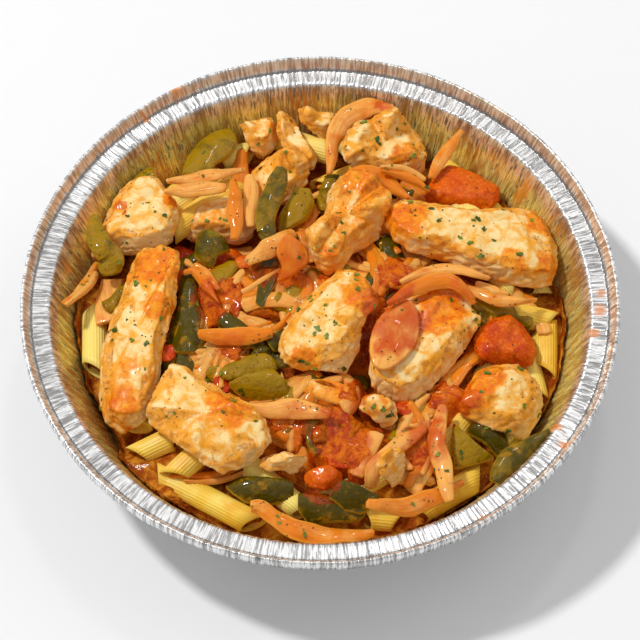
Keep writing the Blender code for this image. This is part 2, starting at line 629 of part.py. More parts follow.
def build_tray(material, collection):
    """The tray: one turned sheet from the middle, up the wall, over the ledge and lip to the hem."""
    profile = [
        (0.0, SHEET),
        (FOOT_RADIUS - BASE_CORNER, SHEET),
        (FOOT_RADIUS - HEEL_INSET, SHEET + HEEL_RISE),
        (FOOT_RADIUS, BASE_CORNER),
        (LEDGE_INNER_RADIUS - LEDGE_ROUND, LEDGE_HEIGHT - LEDGE_ROUND),
        (LEDGE_INNER_RADIUS, LEDGE_HEIGHT),
        (LEDGE_OUTER_RADIUS, LEDGE_HEIGHT),
        (RIM_RADIUS - LIP_ROUND - LIP_TOP, RIM_HEIGHT),
        (RIM_RADIUS - LIP_ROUND, RIM_HEIGHT),
        (RIM_RADIUS, RIM_HEIGHT - LIP_ROUND),
        (RIM_RADIUS, RIM_HEIGHT - HEM_DROP),
    ]
    mesh = bpy.data.meshes.new("tray")
    corners = [(r * MM, 0.0, z * MM) for r, z in profile]
    mesh.from_pydata(corners, [(i, i + 1) for i in range(len(corners) - 1)], [])
    tray = bpy.data.objects.new("tray", mesh)
    tray.data.materials.append(material)
    collection.objects.link(tray)
    turn = tray.modifiers.new("turn", "SCREW")
    turn.steps = TURN_STEPS
    turn.render_steps = TURN_STEPS
    turn.use_merge_vertices = True
    turn.merge_threshold = 0.00001
    sheet = tray.modifiers.new("sheet", "SOLIDIFY")
    sheet.thickness = SHEET * MM
    sheet.offset = -1
    sheet.use_even_offset = True
    return tray


def build_penne(rise, start, finish):
    """One tube of pasta with slanted ends and an open bore at each end."""
    a = Vector(start)
    b = Vector(finish)
    ends = []
    for p in (a, b):
        z = heap_surface(p.x, p.y) + rise - PENNE_RADIUS
        x, y = along_sight(p.x, p.y, z)
        ends.append(Vector((x, y, z)))
    for _ in range(20):
        out = [max(math.hypot(p.x, p.y) + PENNE_RADIUS - wall_radius(p.z - 2.0), 0) for p in ends]
        if max(out) <= 0:
            break
        for p, over in zip(ends, out):
            radius = math.hypot(p.x, p.y)
            p.x -= p.x / radius * over
            p.y -= p.y / radius * over
    axis = (ends[1] - ends[0]).normalized()
    side = axis.cross(Vector((0, 0, 1))).normalized()
    up = side.cross(axis)
    bore_depth = min((ends[1] - ends[0]).length * BORE_SHARE, BORE_DEPTH)
    verts = []
    for place, toward in ((ends[0], 1), (ends[1], -1)):
        for radius, depth in ((PENNE_RADIUS, 0.0), (PENNE_BORE, 0.0), (PENNE_BORE, bore_depth)):
            for k in range(PENNE_SIDES):
                turn = 2 * math.pi * k / PENNE_SIDES
                slant = radius * math.cos(turn) * PENNE_SLANT * toward if depth == 0.0 else 0.0
                verts.append(place + side * radius * math.cos(turn) + up * radius * math.sin(turn)
                             + axis * (slant + depth * toward))
        verts.append(place + axis * bore_depth * toward)
    n = PENNE_SIDES
    far = 3 * n + 1
    faces = ring_faces(0, far, n)
    for first in (0, far):
        faces += ring_faces(first + n, first, n)
        faces += ring_faces(first + 2 * n, first + n, n)
        faces += [(first + 2 * n + k, first + 2 * n + (k + 1) % n, first + 3 * n) for k in range(n)]
    return [tuple(v) for v in verts], faces


def bed_height(heap, x, y, reach):
    """The bed fills up to a level under the pieces, and never touches one."""
    edge = min(max((math.hypot(x, y) - BED_DROP_START) / BED_DROP_REACH, 0), 1)
    fill = heap_surface(x, y) - BED_DEPTH - BED_WALL_DROP * edge * edge * (3 - 2 * edge)
    fill = max(fill, float(heap.block(heap.rest, x, y, reach).max()))
    return min(fill, heap.under_near(x, y, reach) - BED_CLEAR)


def build_bed_core(heap):
    """The pasta bed under the pieces, as rings from the middle out to the wall."""
    verts = []
    for ring in range(BED_RINGS):
        radius = BED_RADIUS * (ring + 1) / BED_RINGS
        for k in range(BED_STEPS):
            turn = 2 * math.pi * k / BED_STEPS
            x = radius * math.cos(turn)
            y = radius * math.sin(turn)
            z = bed_height(heap, x, y, BED_RADIUS / BED_RINGS * 0.75)
            if ring == BED_RINGS - 1:
                limit = wall_radius(z)
                x *= limit / radius
                y *= limit / radius
            verts.append((x, y, z))
    low_rings = ((wall_radius(BASE_CORNER), BASE_CORNER), (wall_radius(BED_FLOOR) - GAP, BED_FLOOR))
    for radius, z in low_rings:
        for k in range(BED_STEPS):
            turn = 2 * math.pi * k / BED_STEPS
            verts.append((radius * math.cos(turn), radius * math.sin(turn), z))
    top = len(verts)
    verts.append((0, 0, bed_height(heap, 0, 0, 6)))
    verts.append((0, 0, BED_FLOOR))
    n = BED_STEPS
    faces = [(k, (k + 1) % n, top) for k in range(n)]
    for ring in range(BED_RINGS + 1):
        faces += ring_faces((ring + 1) * n, ring * n, n)
    base = (BED_RINGS + 1) * n
    faces += [(base + (k + 1) % n, base + k, top + 1) for k in range(n)]
    return verts, faces


def clear_bed(heap, verts, faces):
    """Lowers the bed's corners until it is clear of every piece that lies over it."""
    movable = BED_RINGS * BED_STEPS
    for _ in range(CLEAR_ROUNDS):
        grown = BVHTree.FromPolygons([Vector(v) for v in grow(verts, faces, GAP)], faces)
        low = set()
        for other in heap.over:
            for face, _ in grown.overlap(other):
                low.update(corner for corner in faces[face] if corner < movable)
        if not low:
            break
        verts = [(v[0], v[1], v[2] - CLEAR_STEP) if k in low else v for k, v in enumerate(verts)]
    return verts


def join_solids(target, parts, name):
    """One Boolean union of a collection of parts on the target, applied."""
    group = bpy.data.collections.new(name)
    bpy.context.scene.collection.children.link(group)
    for part in parts:
        for holder in list(part.users_collection):
            holder.objects.unlink(part)
        group.objects.link(part)
    union = target.modifiers.new("union", "BOOLEAN")
    union.operation = "UNION"
    union.operand_type = "COLLECTION"
    union.collection = group
    union.solver = "MANIFOLD"
    graph = bpy.context.evaluated_depsgraph_get()
    joined = bpy.data.meshes.new_from_object(target.evaluated_get(graph))
    target.modifiers.remove(union)
    target.data = joined
    for part in parts:
        bpy.data.objects.remove(part, do_unlink=True)
    bpy.data.collections.remove(group)


def free_above(heap, x, y, z):
    """True if nothing lies over the place."""
    start = Vector((x, y, z + 1.0))
    return all(surface.ray_cast(start, Vector((0, 0, 1)))[0] is None for surface in heap.surfaces)


def build_flake(place, normal, rng):
    """A thin crooked leaf scrap, half sunk in the surface it lies on."""
    side = normal.cross(Vector((0, 1, 0))).normalized()
    along = side.cross(normal)
    spin = rng.uniform(0, math.tau)
    long = FLAKE_RADIUS * rng.uniform(0.8, 1.4)
    wide = FLAKE_RADIUS * rng.uniform(0.35, 0.7)
    corners = []
    for k in range(5):
        turn = math.tau * k / 5
        u = long * math.cos(turn)
        v = wide * math.sin(turn)
        corners.append(side * (u * math.cos(spin) - v * math.sin(spin))
                       + along * (u * math.sin(spin) + v * math.cos(spin)))
    verts = [place + c - normal * FLAKE_RISE for c in corners]
    verts += [place + c * 0.9 + normal * FLAKE_RISE for c in corners]
    faces = ring_faces(0, 5, 5)
    faces += [(0, 4, 3), (0, 3, 2), (0, 2, 1), (5, 6, 7), (5, 7, 8), (5, 8, 9)]
    return [tuple(v) for v in verts], faces


def strew_flakes(heap, chicken, material, collection):
    """Parsley flakes fused to the tops of the chicken, where nothing lies over them."""
    rng = random.Random(FLAKE_SEED)
    pool = []
    for thing, surface, low, high in chicken:
        area = (high[0] - low[0]) * (high[1] - low[1])
        pool.append((area, thing, surface, low, high))
    total = sum(row[0] for row in pool)
    for area, thing, surface, low, high in pool:
        flakes = []
        spots = []
        wanted = round(FLAKE_COUNT * area / total)
        for _ in range(wanted * 12):
            if len(flakes) >= wanted:
                break
            x = rng.uniform(low[0], high[0])
            y = rng.uniform(low[1], high[1])
            place, normal, _, _ = surface.ray_cast(Vector((x, y, HIGH)), Vector((0, 0, -1)))
            if place is None or normal.z < 0.9 or not free_above(heap, x, y, place.z):
                continue
            if any((place - other).length < 5 * FLAKE_RADIUS for other in spots):
                continue
            verts, faces = build_flake(place, normal, rng)
            faces = outward(verts, faces)
            grown = BVHTree.FromPolygons([Vector(v) for v in grow(verts, faces, GAP)], faces)
            if sum(1 for other in heap.surfaces if grown.overlap(other)) > 1:
                continue
            spots.append(place)
            flakes.append(add_object("flake", verts, faces, material, collection))
        if flakes:
            join_solids(thing, flakes, "flakes")


def keep_largest(thing):
    """Removes loose scraps and sealed hollows that the union may leave."""
    mesh = bmesh.new()
    mesh.from_mesh(thing.data)
    waiting = set(mesh.verts)
    islands = []
    while waiting:
        island = set()
        edge = [waiting.pop()]
        while edge:
            corner = edge.pop()
            island.add(corner)
            for link in corner.link_edges:
                other = link.other_vert(corner)
                if other in waiting:
                    waiting.discard(other)
                    edge.append(other)
        islands.append(island)
    largest = max(islands, key=len)
    bmesh.ops.delete(mesh, geom=[v for v in mesh.verts if v not in largest], context="VERTS")
    mesh.to_mesh(thing.data)
    mesh.free()


def shape_piece(heap, piece, seed):
    kind, name, food, rise, thick = piece[:5]
    if kind == CHUNKS:
        verts, faces = build_chunk(heap, food, rise, thick, piece[5], seed)
    else:
        verts, faces = build_strip(heap, rise, thick, piece[5], piece[6], seed)
    faces = outward(verts, faces)
    return verts, faces


def main():
    clear_scene()
    collection = bpy.data.collections.new(OBJECT_NAME)
    bpy.context.scene.collection.children.link(collection)
    materials = {food: make_material(food) for food in COLOURS}
    build_tray(materials["foil"], collection)
    heap = Heap()
    bed_parts = []
    chicken = []
    for name, rise, start, finish in PENNE:
        verts, faces = build_penne(rise, start, finish)
        faces = outward(verts, faces)
        heap.add(verts, faces, over_bed=False)
        bed_parts.append(add_object("penne_" + name, verts, faces, materials["penne"], collection))
    for seed, piece in enumerate(BED_BITS):
        verts, faces = shape_piece(heap, piece, seed)
        verts = settle(heap, verts, faces)
        heap.add(verts, faces, over_bed=False)
        bed_parts.append(add_object(piece[1], verts, faces, materials["penne"], collection))
    for seed, piece in enumerate(PIECES):
        verts, faces = shape_piece(heap, piece, seed + len(BED_BITS))
        verts = settle(heap, verts, faces)
        surface = heap.add(verts, faces)
        thing = add_object(piece[1], verts, faces, materials[piece[2]], collection)
        if piece[2] == "chicken":
            places = np.array(verts)
            chicken.append((thing, surface, places.min(axis=0), places.max(axis=0)))
    verts, faces = build_bed_core(heap)
    faces = outward(verts, faces)
    verts = clear_bed(heap, verts, faces)
    bed = add_object("pasta_bed", verts, faces, materials["penne"], collection)
    join_solids(bed, bed_parts, "bed_parts")
    keep_largest(bed)
    strew_flakes(heap, chicken, materials["chicken"], collection)


main()
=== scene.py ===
"""The looks of a foil tray meal: penne with chicken, green pepper, onion and tomato in a foil tray.

Lengths are in millimetres until a piece is made, and in metres in the finished meshes.
"""
import heapq
import math

import bmesh
import bpy
import numpy as np
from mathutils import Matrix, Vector
from mathutils.bvhtree import BVHTree


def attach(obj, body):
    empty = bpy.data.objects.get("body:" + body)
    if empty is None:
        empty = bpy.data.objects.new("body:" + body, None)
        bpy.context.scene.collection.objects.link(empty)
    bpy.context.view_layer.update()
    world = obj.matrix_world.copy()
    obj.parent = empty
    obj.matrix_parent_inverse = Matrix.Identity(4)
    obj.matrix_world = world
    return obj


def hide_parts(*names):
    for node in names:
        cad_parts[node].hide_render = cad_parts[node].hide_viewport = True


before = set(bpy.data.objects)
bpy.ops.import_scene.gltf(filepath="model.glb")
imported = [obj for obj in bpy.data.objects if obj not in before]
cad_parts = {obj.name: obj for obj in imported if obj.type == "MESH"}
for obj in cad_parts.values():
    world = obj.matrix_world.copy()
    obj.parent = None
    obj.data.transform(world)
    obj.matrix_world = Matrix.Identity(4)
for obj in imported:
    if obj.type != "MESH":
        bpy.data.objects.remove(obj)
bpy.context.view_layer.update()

MM = 0.001
BODY = "root"

# The viewer's place
EYE_TILT = math.radians(57.84)
EYE_DISTANCE = 1000.0
EYE_TARGET = 41.5
SIGHT_LEVEL = 36.0
LENS = 146.7
VIEW_SHIFT = -0.029

# The heap's surface, as in the solids
CROWN_HEIGHT = 43.0
CROWN_FALL = 12.0
CROWN_REACH = 92.0

# Tray
RIM_RADIUS = 114.5
RIM_HEIGHT = 46.5
LEDGE_HEIGHT = 41.5
LEDGE_INNER = 104.2
LEDGE_OUTER = 110.4
LEDGE_MIDDLE = 108.0
FOOT_RADIUS = 88.5
WALL_FOOT = 5.0
FOIL = 0.45
CRIMPS = 326
CRIMP_STEPS = 6

# Penne
PENNE_RADIUS = 4.9
PENNE_WALL = 1.35
PENNE_RIBS = 26
PENNE_SLANT = 0.7
PENNE_RIB_HEIGHT = 0.24
PENNE_SEED = 21

# Penne along the wall: how often one is tried, and the ranges that it is drawn from
RIM_TRIES = 3000
RIM_SEED = 9
RIM_RADIUS_RANGE = (64, 88)
RIM_HALF_LENGTH = (9, 20)
RIM_SINK = (0.2, 9.0)
RIM_CLEAR_RADIUS = 66

# Stew between the large pieces
STEW_TRIES = 1100
STEW_SEED = 44
STEW_REACH = 82
LOW_SEED = 61
SLIVER_SPLITS = 0.35

# The bed under it all: fineness, how far its skin lies inside the solid, and its drop near the wall
BED_VOXEL = 1.3
BED_INSET = 0.9
BED_DROP = 4.5
BED_DROP_FROM = 60
BED_DROP_FULL = 72

# Skins over the solids
CHICKEN_VOXEL = 0.65
CHICKEN_SEED = 100
STRIP_SEED = 300
CHUNK_SEED = 500
CUT_SHARE = 0.62
CUT_STEPS = 6
POOL_RAGGED = 5.0
SAUCE_LEAST = 0.08
SAUCE_REACH = 84
SAUCE_DEPTH = 2.0

# Lights: the way toward each, its distance and size in metres, and its power
LIGHTS = {
    "key": ((-0.502, 0.211, 0.839), 3.4, 0.34, 65.0),
    "fill": ((0.6, 0.3, 0.74), 3.2, 2.8, 12.0),
    "shine": ((0.12, 0.5, 0.86), 3.0, 0.34, 4.5),
}
SKY = 0.46
FLOOR_REACH = 3.0


# ---- Node trees written as expressions ----

class Value:
    """A socket of a node tree, with arithmetic."""

    def __init__(self, tree, socket):
        self.tree = tree
        self.socket = socket

    def math(self, operation, *values):
        return node(self.tree, "ShaderNodeMath", {"operation": operation}, values)

    def __add__(self, other):
        return self.math("ADD", self, other)

    __radd__ = __add__

    def __sub__(self, other):
        return self.math("SUBTRACT", self, other)

    def __rsub__(self, other):
        return self.math("SUBTRACT", other, self)

    def __mul__(self, other):
        return self.math("MULTIPLY", self, other)

    __rmul__ = __mul__

    def sin(self):
        return self.math("SINE", self)

    def cos(self):
        return self.math("COSINE", self)

    def size(self):
        return self.math("ABSOLUTE", self)

    def most(self, other):
        return self.math("MAXIMUM", self, other)

    def least(self, other):
        return self.math("MINIMUM", self, other)


def node(tree, kind, settings=None, values=(), out=0):
    """Adds a node: its settings first, then the values or links of its sockets."""
    made = tree.nodes.new(kind)
    for name, value in (settings or {}).items():
        setattr(made, name, value)
    pairs = values.items() if isinstance(values, dict) else enumerate(values)
    for key, value in pairs:
        if isinstance(value, Value):
            tree.links.new(value.socket, made.inputs[key])
        else:
            made.inputs[key].default_value = value
    return Value(tree, made.outputs[out])


def vector_math(operation, *values, out=0):
    tree = next(v.tree for v in values if isinstance(v, Value))
    return node(tree, "ShaderNodeVectorMath", {"operation": operation}, values, out)


def scaled(vector, factor):
    tree = vector.tree
    return node(tree, "ShaderNodeVectorMath", {"operation": "SCALE"}, {0: vector, 3: factor})


def joined(tree, x, y, z):
    """A vector from its three parts."""
    return node(tree, "ShaderNodeCombineXYZ", None, [x, y, z])


def places(tree):
    """Object coordinates in millimetres."""
    return scaled(node(tree, "ShaderNodeTexCoord", out=3), 1000.0)


def stretched(vector, size):
    return vector_math("MULTIPLY", vector, size)


def grain(vector, size, detail=2.0, roughness=0.5, distortion=0.0, shift=None):
    """Noise whose features are about size millimetres wide."""
    if shift is not None:
        vector = vector_math("ADD", vector, shift)
    return node(vector.tree, "ShaderNodeTexNoise", None,
                {"Vector": vector, "Scale": 1.0 / size, "Detail": detail, "Roughness": roughness,
                 "Distortion": distortion})


def band(value, low, high):
    """0 below low, 1 above high, smooth between."""
    return node(value.tree, "ShaderNodeMapRange", {"interpolation_type": "SMOOTHSTEP"},
                {0: value, 1: low, 2: high})


def blend(factor, first, second):
    """A mix of two colours."""
    return node(factor.tree, "ShaderNodeMix", {"data_type": "RGBA"},
                {0: factor, 6: first, 7: second}, out=2)


def mark(tree, name):
    return node(tree, "ShaderNodeAttribute", {"attribute_name": name}, out=2)


def marks_of(tree, *names):
    return [mark(tree, name) for name in names]


def bumped(height, distance, strength=1.0):
    return node(height.tree, "ShaderNodeBump", None,
                {"Height": height, "Strength": strength, "Distance": distance * MM})


def rgb(red, green, blue):
    """A linear colour from screen values between 0 and 255."""
    return (*[(c / 255 / 12.92) if c <= 10 else ((c / 255 + 0.055) / 1.055) ** 2.4
              for c in (red, green, blue)], 1.0)


def finish(name, constants):
    """A material, its node tree and its shader."""
    material = bpy.data.materials.new(name)
    material.use_nodes = True
    tree = material.node_tree
    shader = tree.nodes["Principled BSDF"]
    for key, value in constants.items():
        shader.inputs[key].default_value = value
    return material, tree, shader


def feed(shader, key, value):
    value.tree.links.new(value.socket, shader.inputs[key])


def wear(shader, colour, roughness, normal):
    feed(shader, "Base Color", colour)
    feed(shader, "Roughness", roughness)
    feed(shader, "Normal", normal)


# ---- Materials ----

def chicken_finish():
    material, tree, shader = finish("seared_chicken", {
        "Subsurface Weight": 0.08, "Subsurface Radius": (1.6, 0.9, 0.4), "Subsurface Scale": 0.001,
        "Coat Roughness": 0.18, "Specular IOR Level": 0.1})
    place = places(tree)
    side, fibre, rim, glaze, sauce = marks_of(tree, "side", "fibre", "rim", "glaze", "sauce")
    patch = grain(place, 9.0, 4.0, 0.6, 0.8)
    mottle = grain(place, 4.5, 4.0, 0.65, 0.6, (11.0, 70.0, 0.0))
    speck = grain(place, 2.4, 4.0, 0.65, 0.4, (40.0, 0.0, 0.0))
    fine = grain(place, 0.8, 3.0, 0.6, 0.0, (0.0, 30.0, 0.0))
    flesh = blend(band(mottle, 0.38, 0.66), rgb(255, 224, 158), rgb(248, 182, 74))
    # The sides are paler: partly the cut flesh's own colour, partly painted fill light that lifts their
    # shade.
    flesh = blend(side * 0.6, flesh, rgb(255, 210, 136))
    flesh = blend(band(fibre, 0.4, 0.95) * (0.08 + side * 0.35), flesh, rgb(216, 136, 56))
    gold = band(glaze * 0.5 + rim * 0.4 + (mottle - 0.5) * 1.1 + (patch - 0.5) * 1.1, 0.0, 0.4)
    colour = blend(gold * 0.8, flesh, rgb(250, 164, 34))
    oil = band(glaze * 0.75 + (patch - 0.5) * 1.3 + (speck - 0.5) * 0.5 - side * 0.3, 0.16, 0.62)
    amber = blend(band(mottle + (fine - 0.5) * 0.4, 0.36, 0.64), rgb(254, 164, 20), rgb(242, 120, 4))
    colour = blend(oil * 0.9, colour, amber)
    deep = band(glaze * 0.3 + grain(place, 3.6, 4.0, 0.65, 0.8, (0.0, 0.0, 50.0)), 0.68, 0.9)
    colour = blend(deep * (1.0 - side * 0.5) * 0.6, colour, rgb(224, 96, 2))
    sear = band(grain(place, 3.0, 4.0, 0.7, 0.5, (17.0, 9.0, 3.0)) + rim * 0.16 + glaze * 0.05, 0.63, 0.78)
    colour = blend(sear * (1.0 - side * 0.7) * 0.5, colour, rgb(160, 76, 8))
    red = band(sauce * 0.8 + (mottle - 0.5) * 0.6 + (fine - 0.5) * 0.3, 0.3, 0.75)
    colour = blend(red * 0.75, colour, blend(band(speck, 0.4, 0.62), rgb(228, 96, 2), rgb(196, 50, 0)))
    feed(shader, "Base Color", colour)
    feed(shader, "Roughness", 0.48 - oil * 0.16 - red * 0.16 + fine * 0.12)
    feed(shader, "Coat Weight", (oil * 0.3 + red * 0.35 + 0.04).least(1.0))
    feed(shader, "Normal", bumped(fine * 0.6 + speck * 1.2 + grain(place, 0.4, 2.0) * 0.3, 0.38, 0.55))
    return material


def pepper_finish():
    material, tree, shader = finish("stewed_pepper", {
        "Specular IOR Level": 0.1, "Coat Weight": 0.4, "Coat Roughness": 0.05})
    place = places(tree)
    tone, side, sauce = marks_of(tree, "tone", "side", "sauce")
    cloud = grain(place, 8.0, 3.0, 0.55, 0.5)
    fine = grain(place, 1.0, 3.0, 0.6)
    skin = blend(band(cloud + (tone - 0.5) * 0.9, 0.3, 0.75), rgb(80, 68, 0), rgb(160, 122, 0))
    skin = blend(band(grain(place, 4.0, 3.0, 0.5, 0.3, (9.0, 0.0, 0.0)), 0.55, 0.7) * 0.6, skin,
                 rgb(184, 126, 2))
    skin = blend(side * 0.7, skin, rgb(206, 164, 40))
    skin = blend(band(sauce + (cloud - 0.5), 0.3, 0.7) * 0.7, skin, rgb(160, 52, 0))
    wear(shader, skin, 0.24 + fine * 0.22, bumped(fine * 0.8 + grain(place, 2.6, 2.0) * 3.0, 0.5, 0.7))
    return material


def onion_finish():
    material, tree, shader = finish("stewed_onion", {
        "Subsurface Weight": 0.3, "Subsurface Radius": (2.4, 1.3, 0.4), "Subsurface Scale": 0.001,
        "Specular IOR Level": 0.1, "Coat Weight": 0.4, "Coat Roughness": 0.06})
    place = places(tree)
    across, along, tone, sauce = marks_of(tree, "across", "along", "tone", "sauce")
    line = joined(tree, across * 4.2, along * 0.1, tone * 40.0)
    streak = grain(line, 1.0, 3.0, 0.6, 0.3)
    cloud = grain(place, 7.0, 3.0, 0.55, 0.4)
    flesh = blend(band(cloud + (tone - 0.5) * 1.1, 0.3, 0.7), rgb(248, 178, 88), rgb(234, 134, 24))
    flesh = blend(band(streak, 0.45, 0.62) * 0.35, flesh, rgb(200, 100, 20))
    patch = grain(place, 5.0, 3.0, 0.6, 0.5, (3.0, 8.0, 0.0)) + (tone - 0.5) * 0.3
    flesh = blend(band(patch, 0.52, 0.72) * 0.6, flesh, rgb(234, 126, 12))
    # Painted glow: the thin edges are lighter, as if light shone through them.
    rim = band(across.size(), 0.7, 1.0)
    flesh = blend(rim * 0.6, flesh, rgb(255, 178, 74))
    flesh = blend(band(sauce * 0.8 + (cloud - 0.5) * 1.2, 0.1, 0.95) * 0.9, flesh, rgb(204, 74, 0))
    wear(shader, flesh, 0.3 + cloud * 0.16, bumped(streak + grain(place, 1.6, 2.0) * 1.2, 0.25, 0.5))
    return material


def tomato_finish():
    material, tree, shader = finish("stewed_tomato", {
        "Subsurface Weight": 0.15, "Subsurface Radius": (2.0, 0.6, 0.2), "Subsurface Scale": 0.001,
        "Specular IOR Level": 0.12, "Coat Weight": 0.25, "Coat Roughness": 0.1})
    place = places(tree)
    tone = mark(tree, "tone")
    cloud = grain(place, 7.0, 4.0, 0.6, 0.6)
    fine = grain(place, 1.2, 3.0, 0.6)
    flesh = blend(band(cloud + (tone - 0.5) * 0.5, 0.35, 0.65), rgb(194, 54, 0), rgb(222, 92, 4))
    flesh = blend(band(fine + (cloud - 0.5) * 0.5, 0.48, 0.68) * 0.75, flesh, rgb(238, 128, 20))
    wear(shader, flesh, 0.26 + fine * 0.25, bumped(fine + cloud + grain(place, 2.6, 2.0), 0.6, 0.7))
    return material


def penne_finish():
    material, tree, shader = finish("cooked_penne", {
        "Subsurface Weight": 0.15, "Subsurface Radius": (1.6, 1.1, 0.4), "Subsurface Scale": 0.001,
        "Specular IOR Level": 0.25, "Coat Weight": 0.15, "Coat Roughness": 0.15})
    place = places(tree)
    tone = mark(tree, "tone")
    cloud = grain(place, 12.0, 2.0)
    fine = grain(place, 1.0, 3.0, 0.6)
    dough = blend(band(cloud + (tone - 0.5) * 0.6, 0.35, 0.7), rgb(255, 230, 122), rgb(250, 206, 76))
    stain = band(grain(place, 14.0, 3.0, 0.6, 0.5, (5.0, 60.0, 0.0)) + (tone - 0.5) * 0.25, 0.56, 0.74)
    dough = blend(stain * 0.45, dough, rgb(236, 160, 30))
    wear(shader, dough, 0.36 + fine * 0.12, bumped(fine, 0.15, 0.4))
    return material


def stew_finish():
    material, tree, shader = finish("saucy_bed", {"Specular IOR Level": 0.1, "Coat Weight": 0.05})
    place = places(tree)
    cloud = grain(place, 6.0, 4.0, 0.6, 0.6)
    fine = grain(place, 1.4, 3.0, 0.6)
    sauce = blend(band(cloud, 0.35, 0.68), rgb(130, 44, 0), rgb(216, 112, 6))
    radius = vector_math("LENGTH", stretched(place, (1.0, 1.0, 0.0)), out=1)
    out = band(radius + (cloud - 0.5) * 24.0, 62.0, 80.0)
    sauce = blend(out * 0.8, sauce, blend(band(cloud, 0.4, 0.65), rgb(168, 78, 6), rgb(232, 158, 44)))
    wear(shader, sauce, 0.4 + fine * 0.2, bumped(cloud * 3.0 + fine * 1.5, 1.0, 0.9))
    return material


def sauce_finish():
    material, tree, shader = finish("red_sauce", {
        "Specular IOR Level": 0.12, "Coat Weight": 0.3, "Coat Roughness": 0.1})
    place = places(tree)
    cloud = grain(place, 7.0, 4.0, 0.6, 0.8)
    fine = grain(place, 1.3, 4.0, 0.65, 0.4)
    sauce = blend(band(cloud, 0.36, 0.62), rgb(188, 56, 0), rgb(236, 118, 6))
    sauce = blend(band(fine, 0.55, 0.68) * 0.6, sauce, rgb(244, 150, 30))
    sauce = blend(band(fine + (cloud - 0.5) * 0.3, 0.45, 0.3) * 0.6, sauce, rgb(120, 26, 0))
    wear(shader, sauce, 0.25 + fine * 0.25, bumped(fine * 1.6 + cloud * 2.0, 0.9, 0.8))
    return material


# Grease on the foil: x, y, reach
SMEARS = [(-58, 98, 3.5), (-70, 86, 2.2), (88, -55, 3.0), (91, -63, 3.2), (107, -4, 3.6), (108, 4, 2.4),
          (104, -14, 2.6), (81, 58, 4.0), (60, -94, 2.0)]


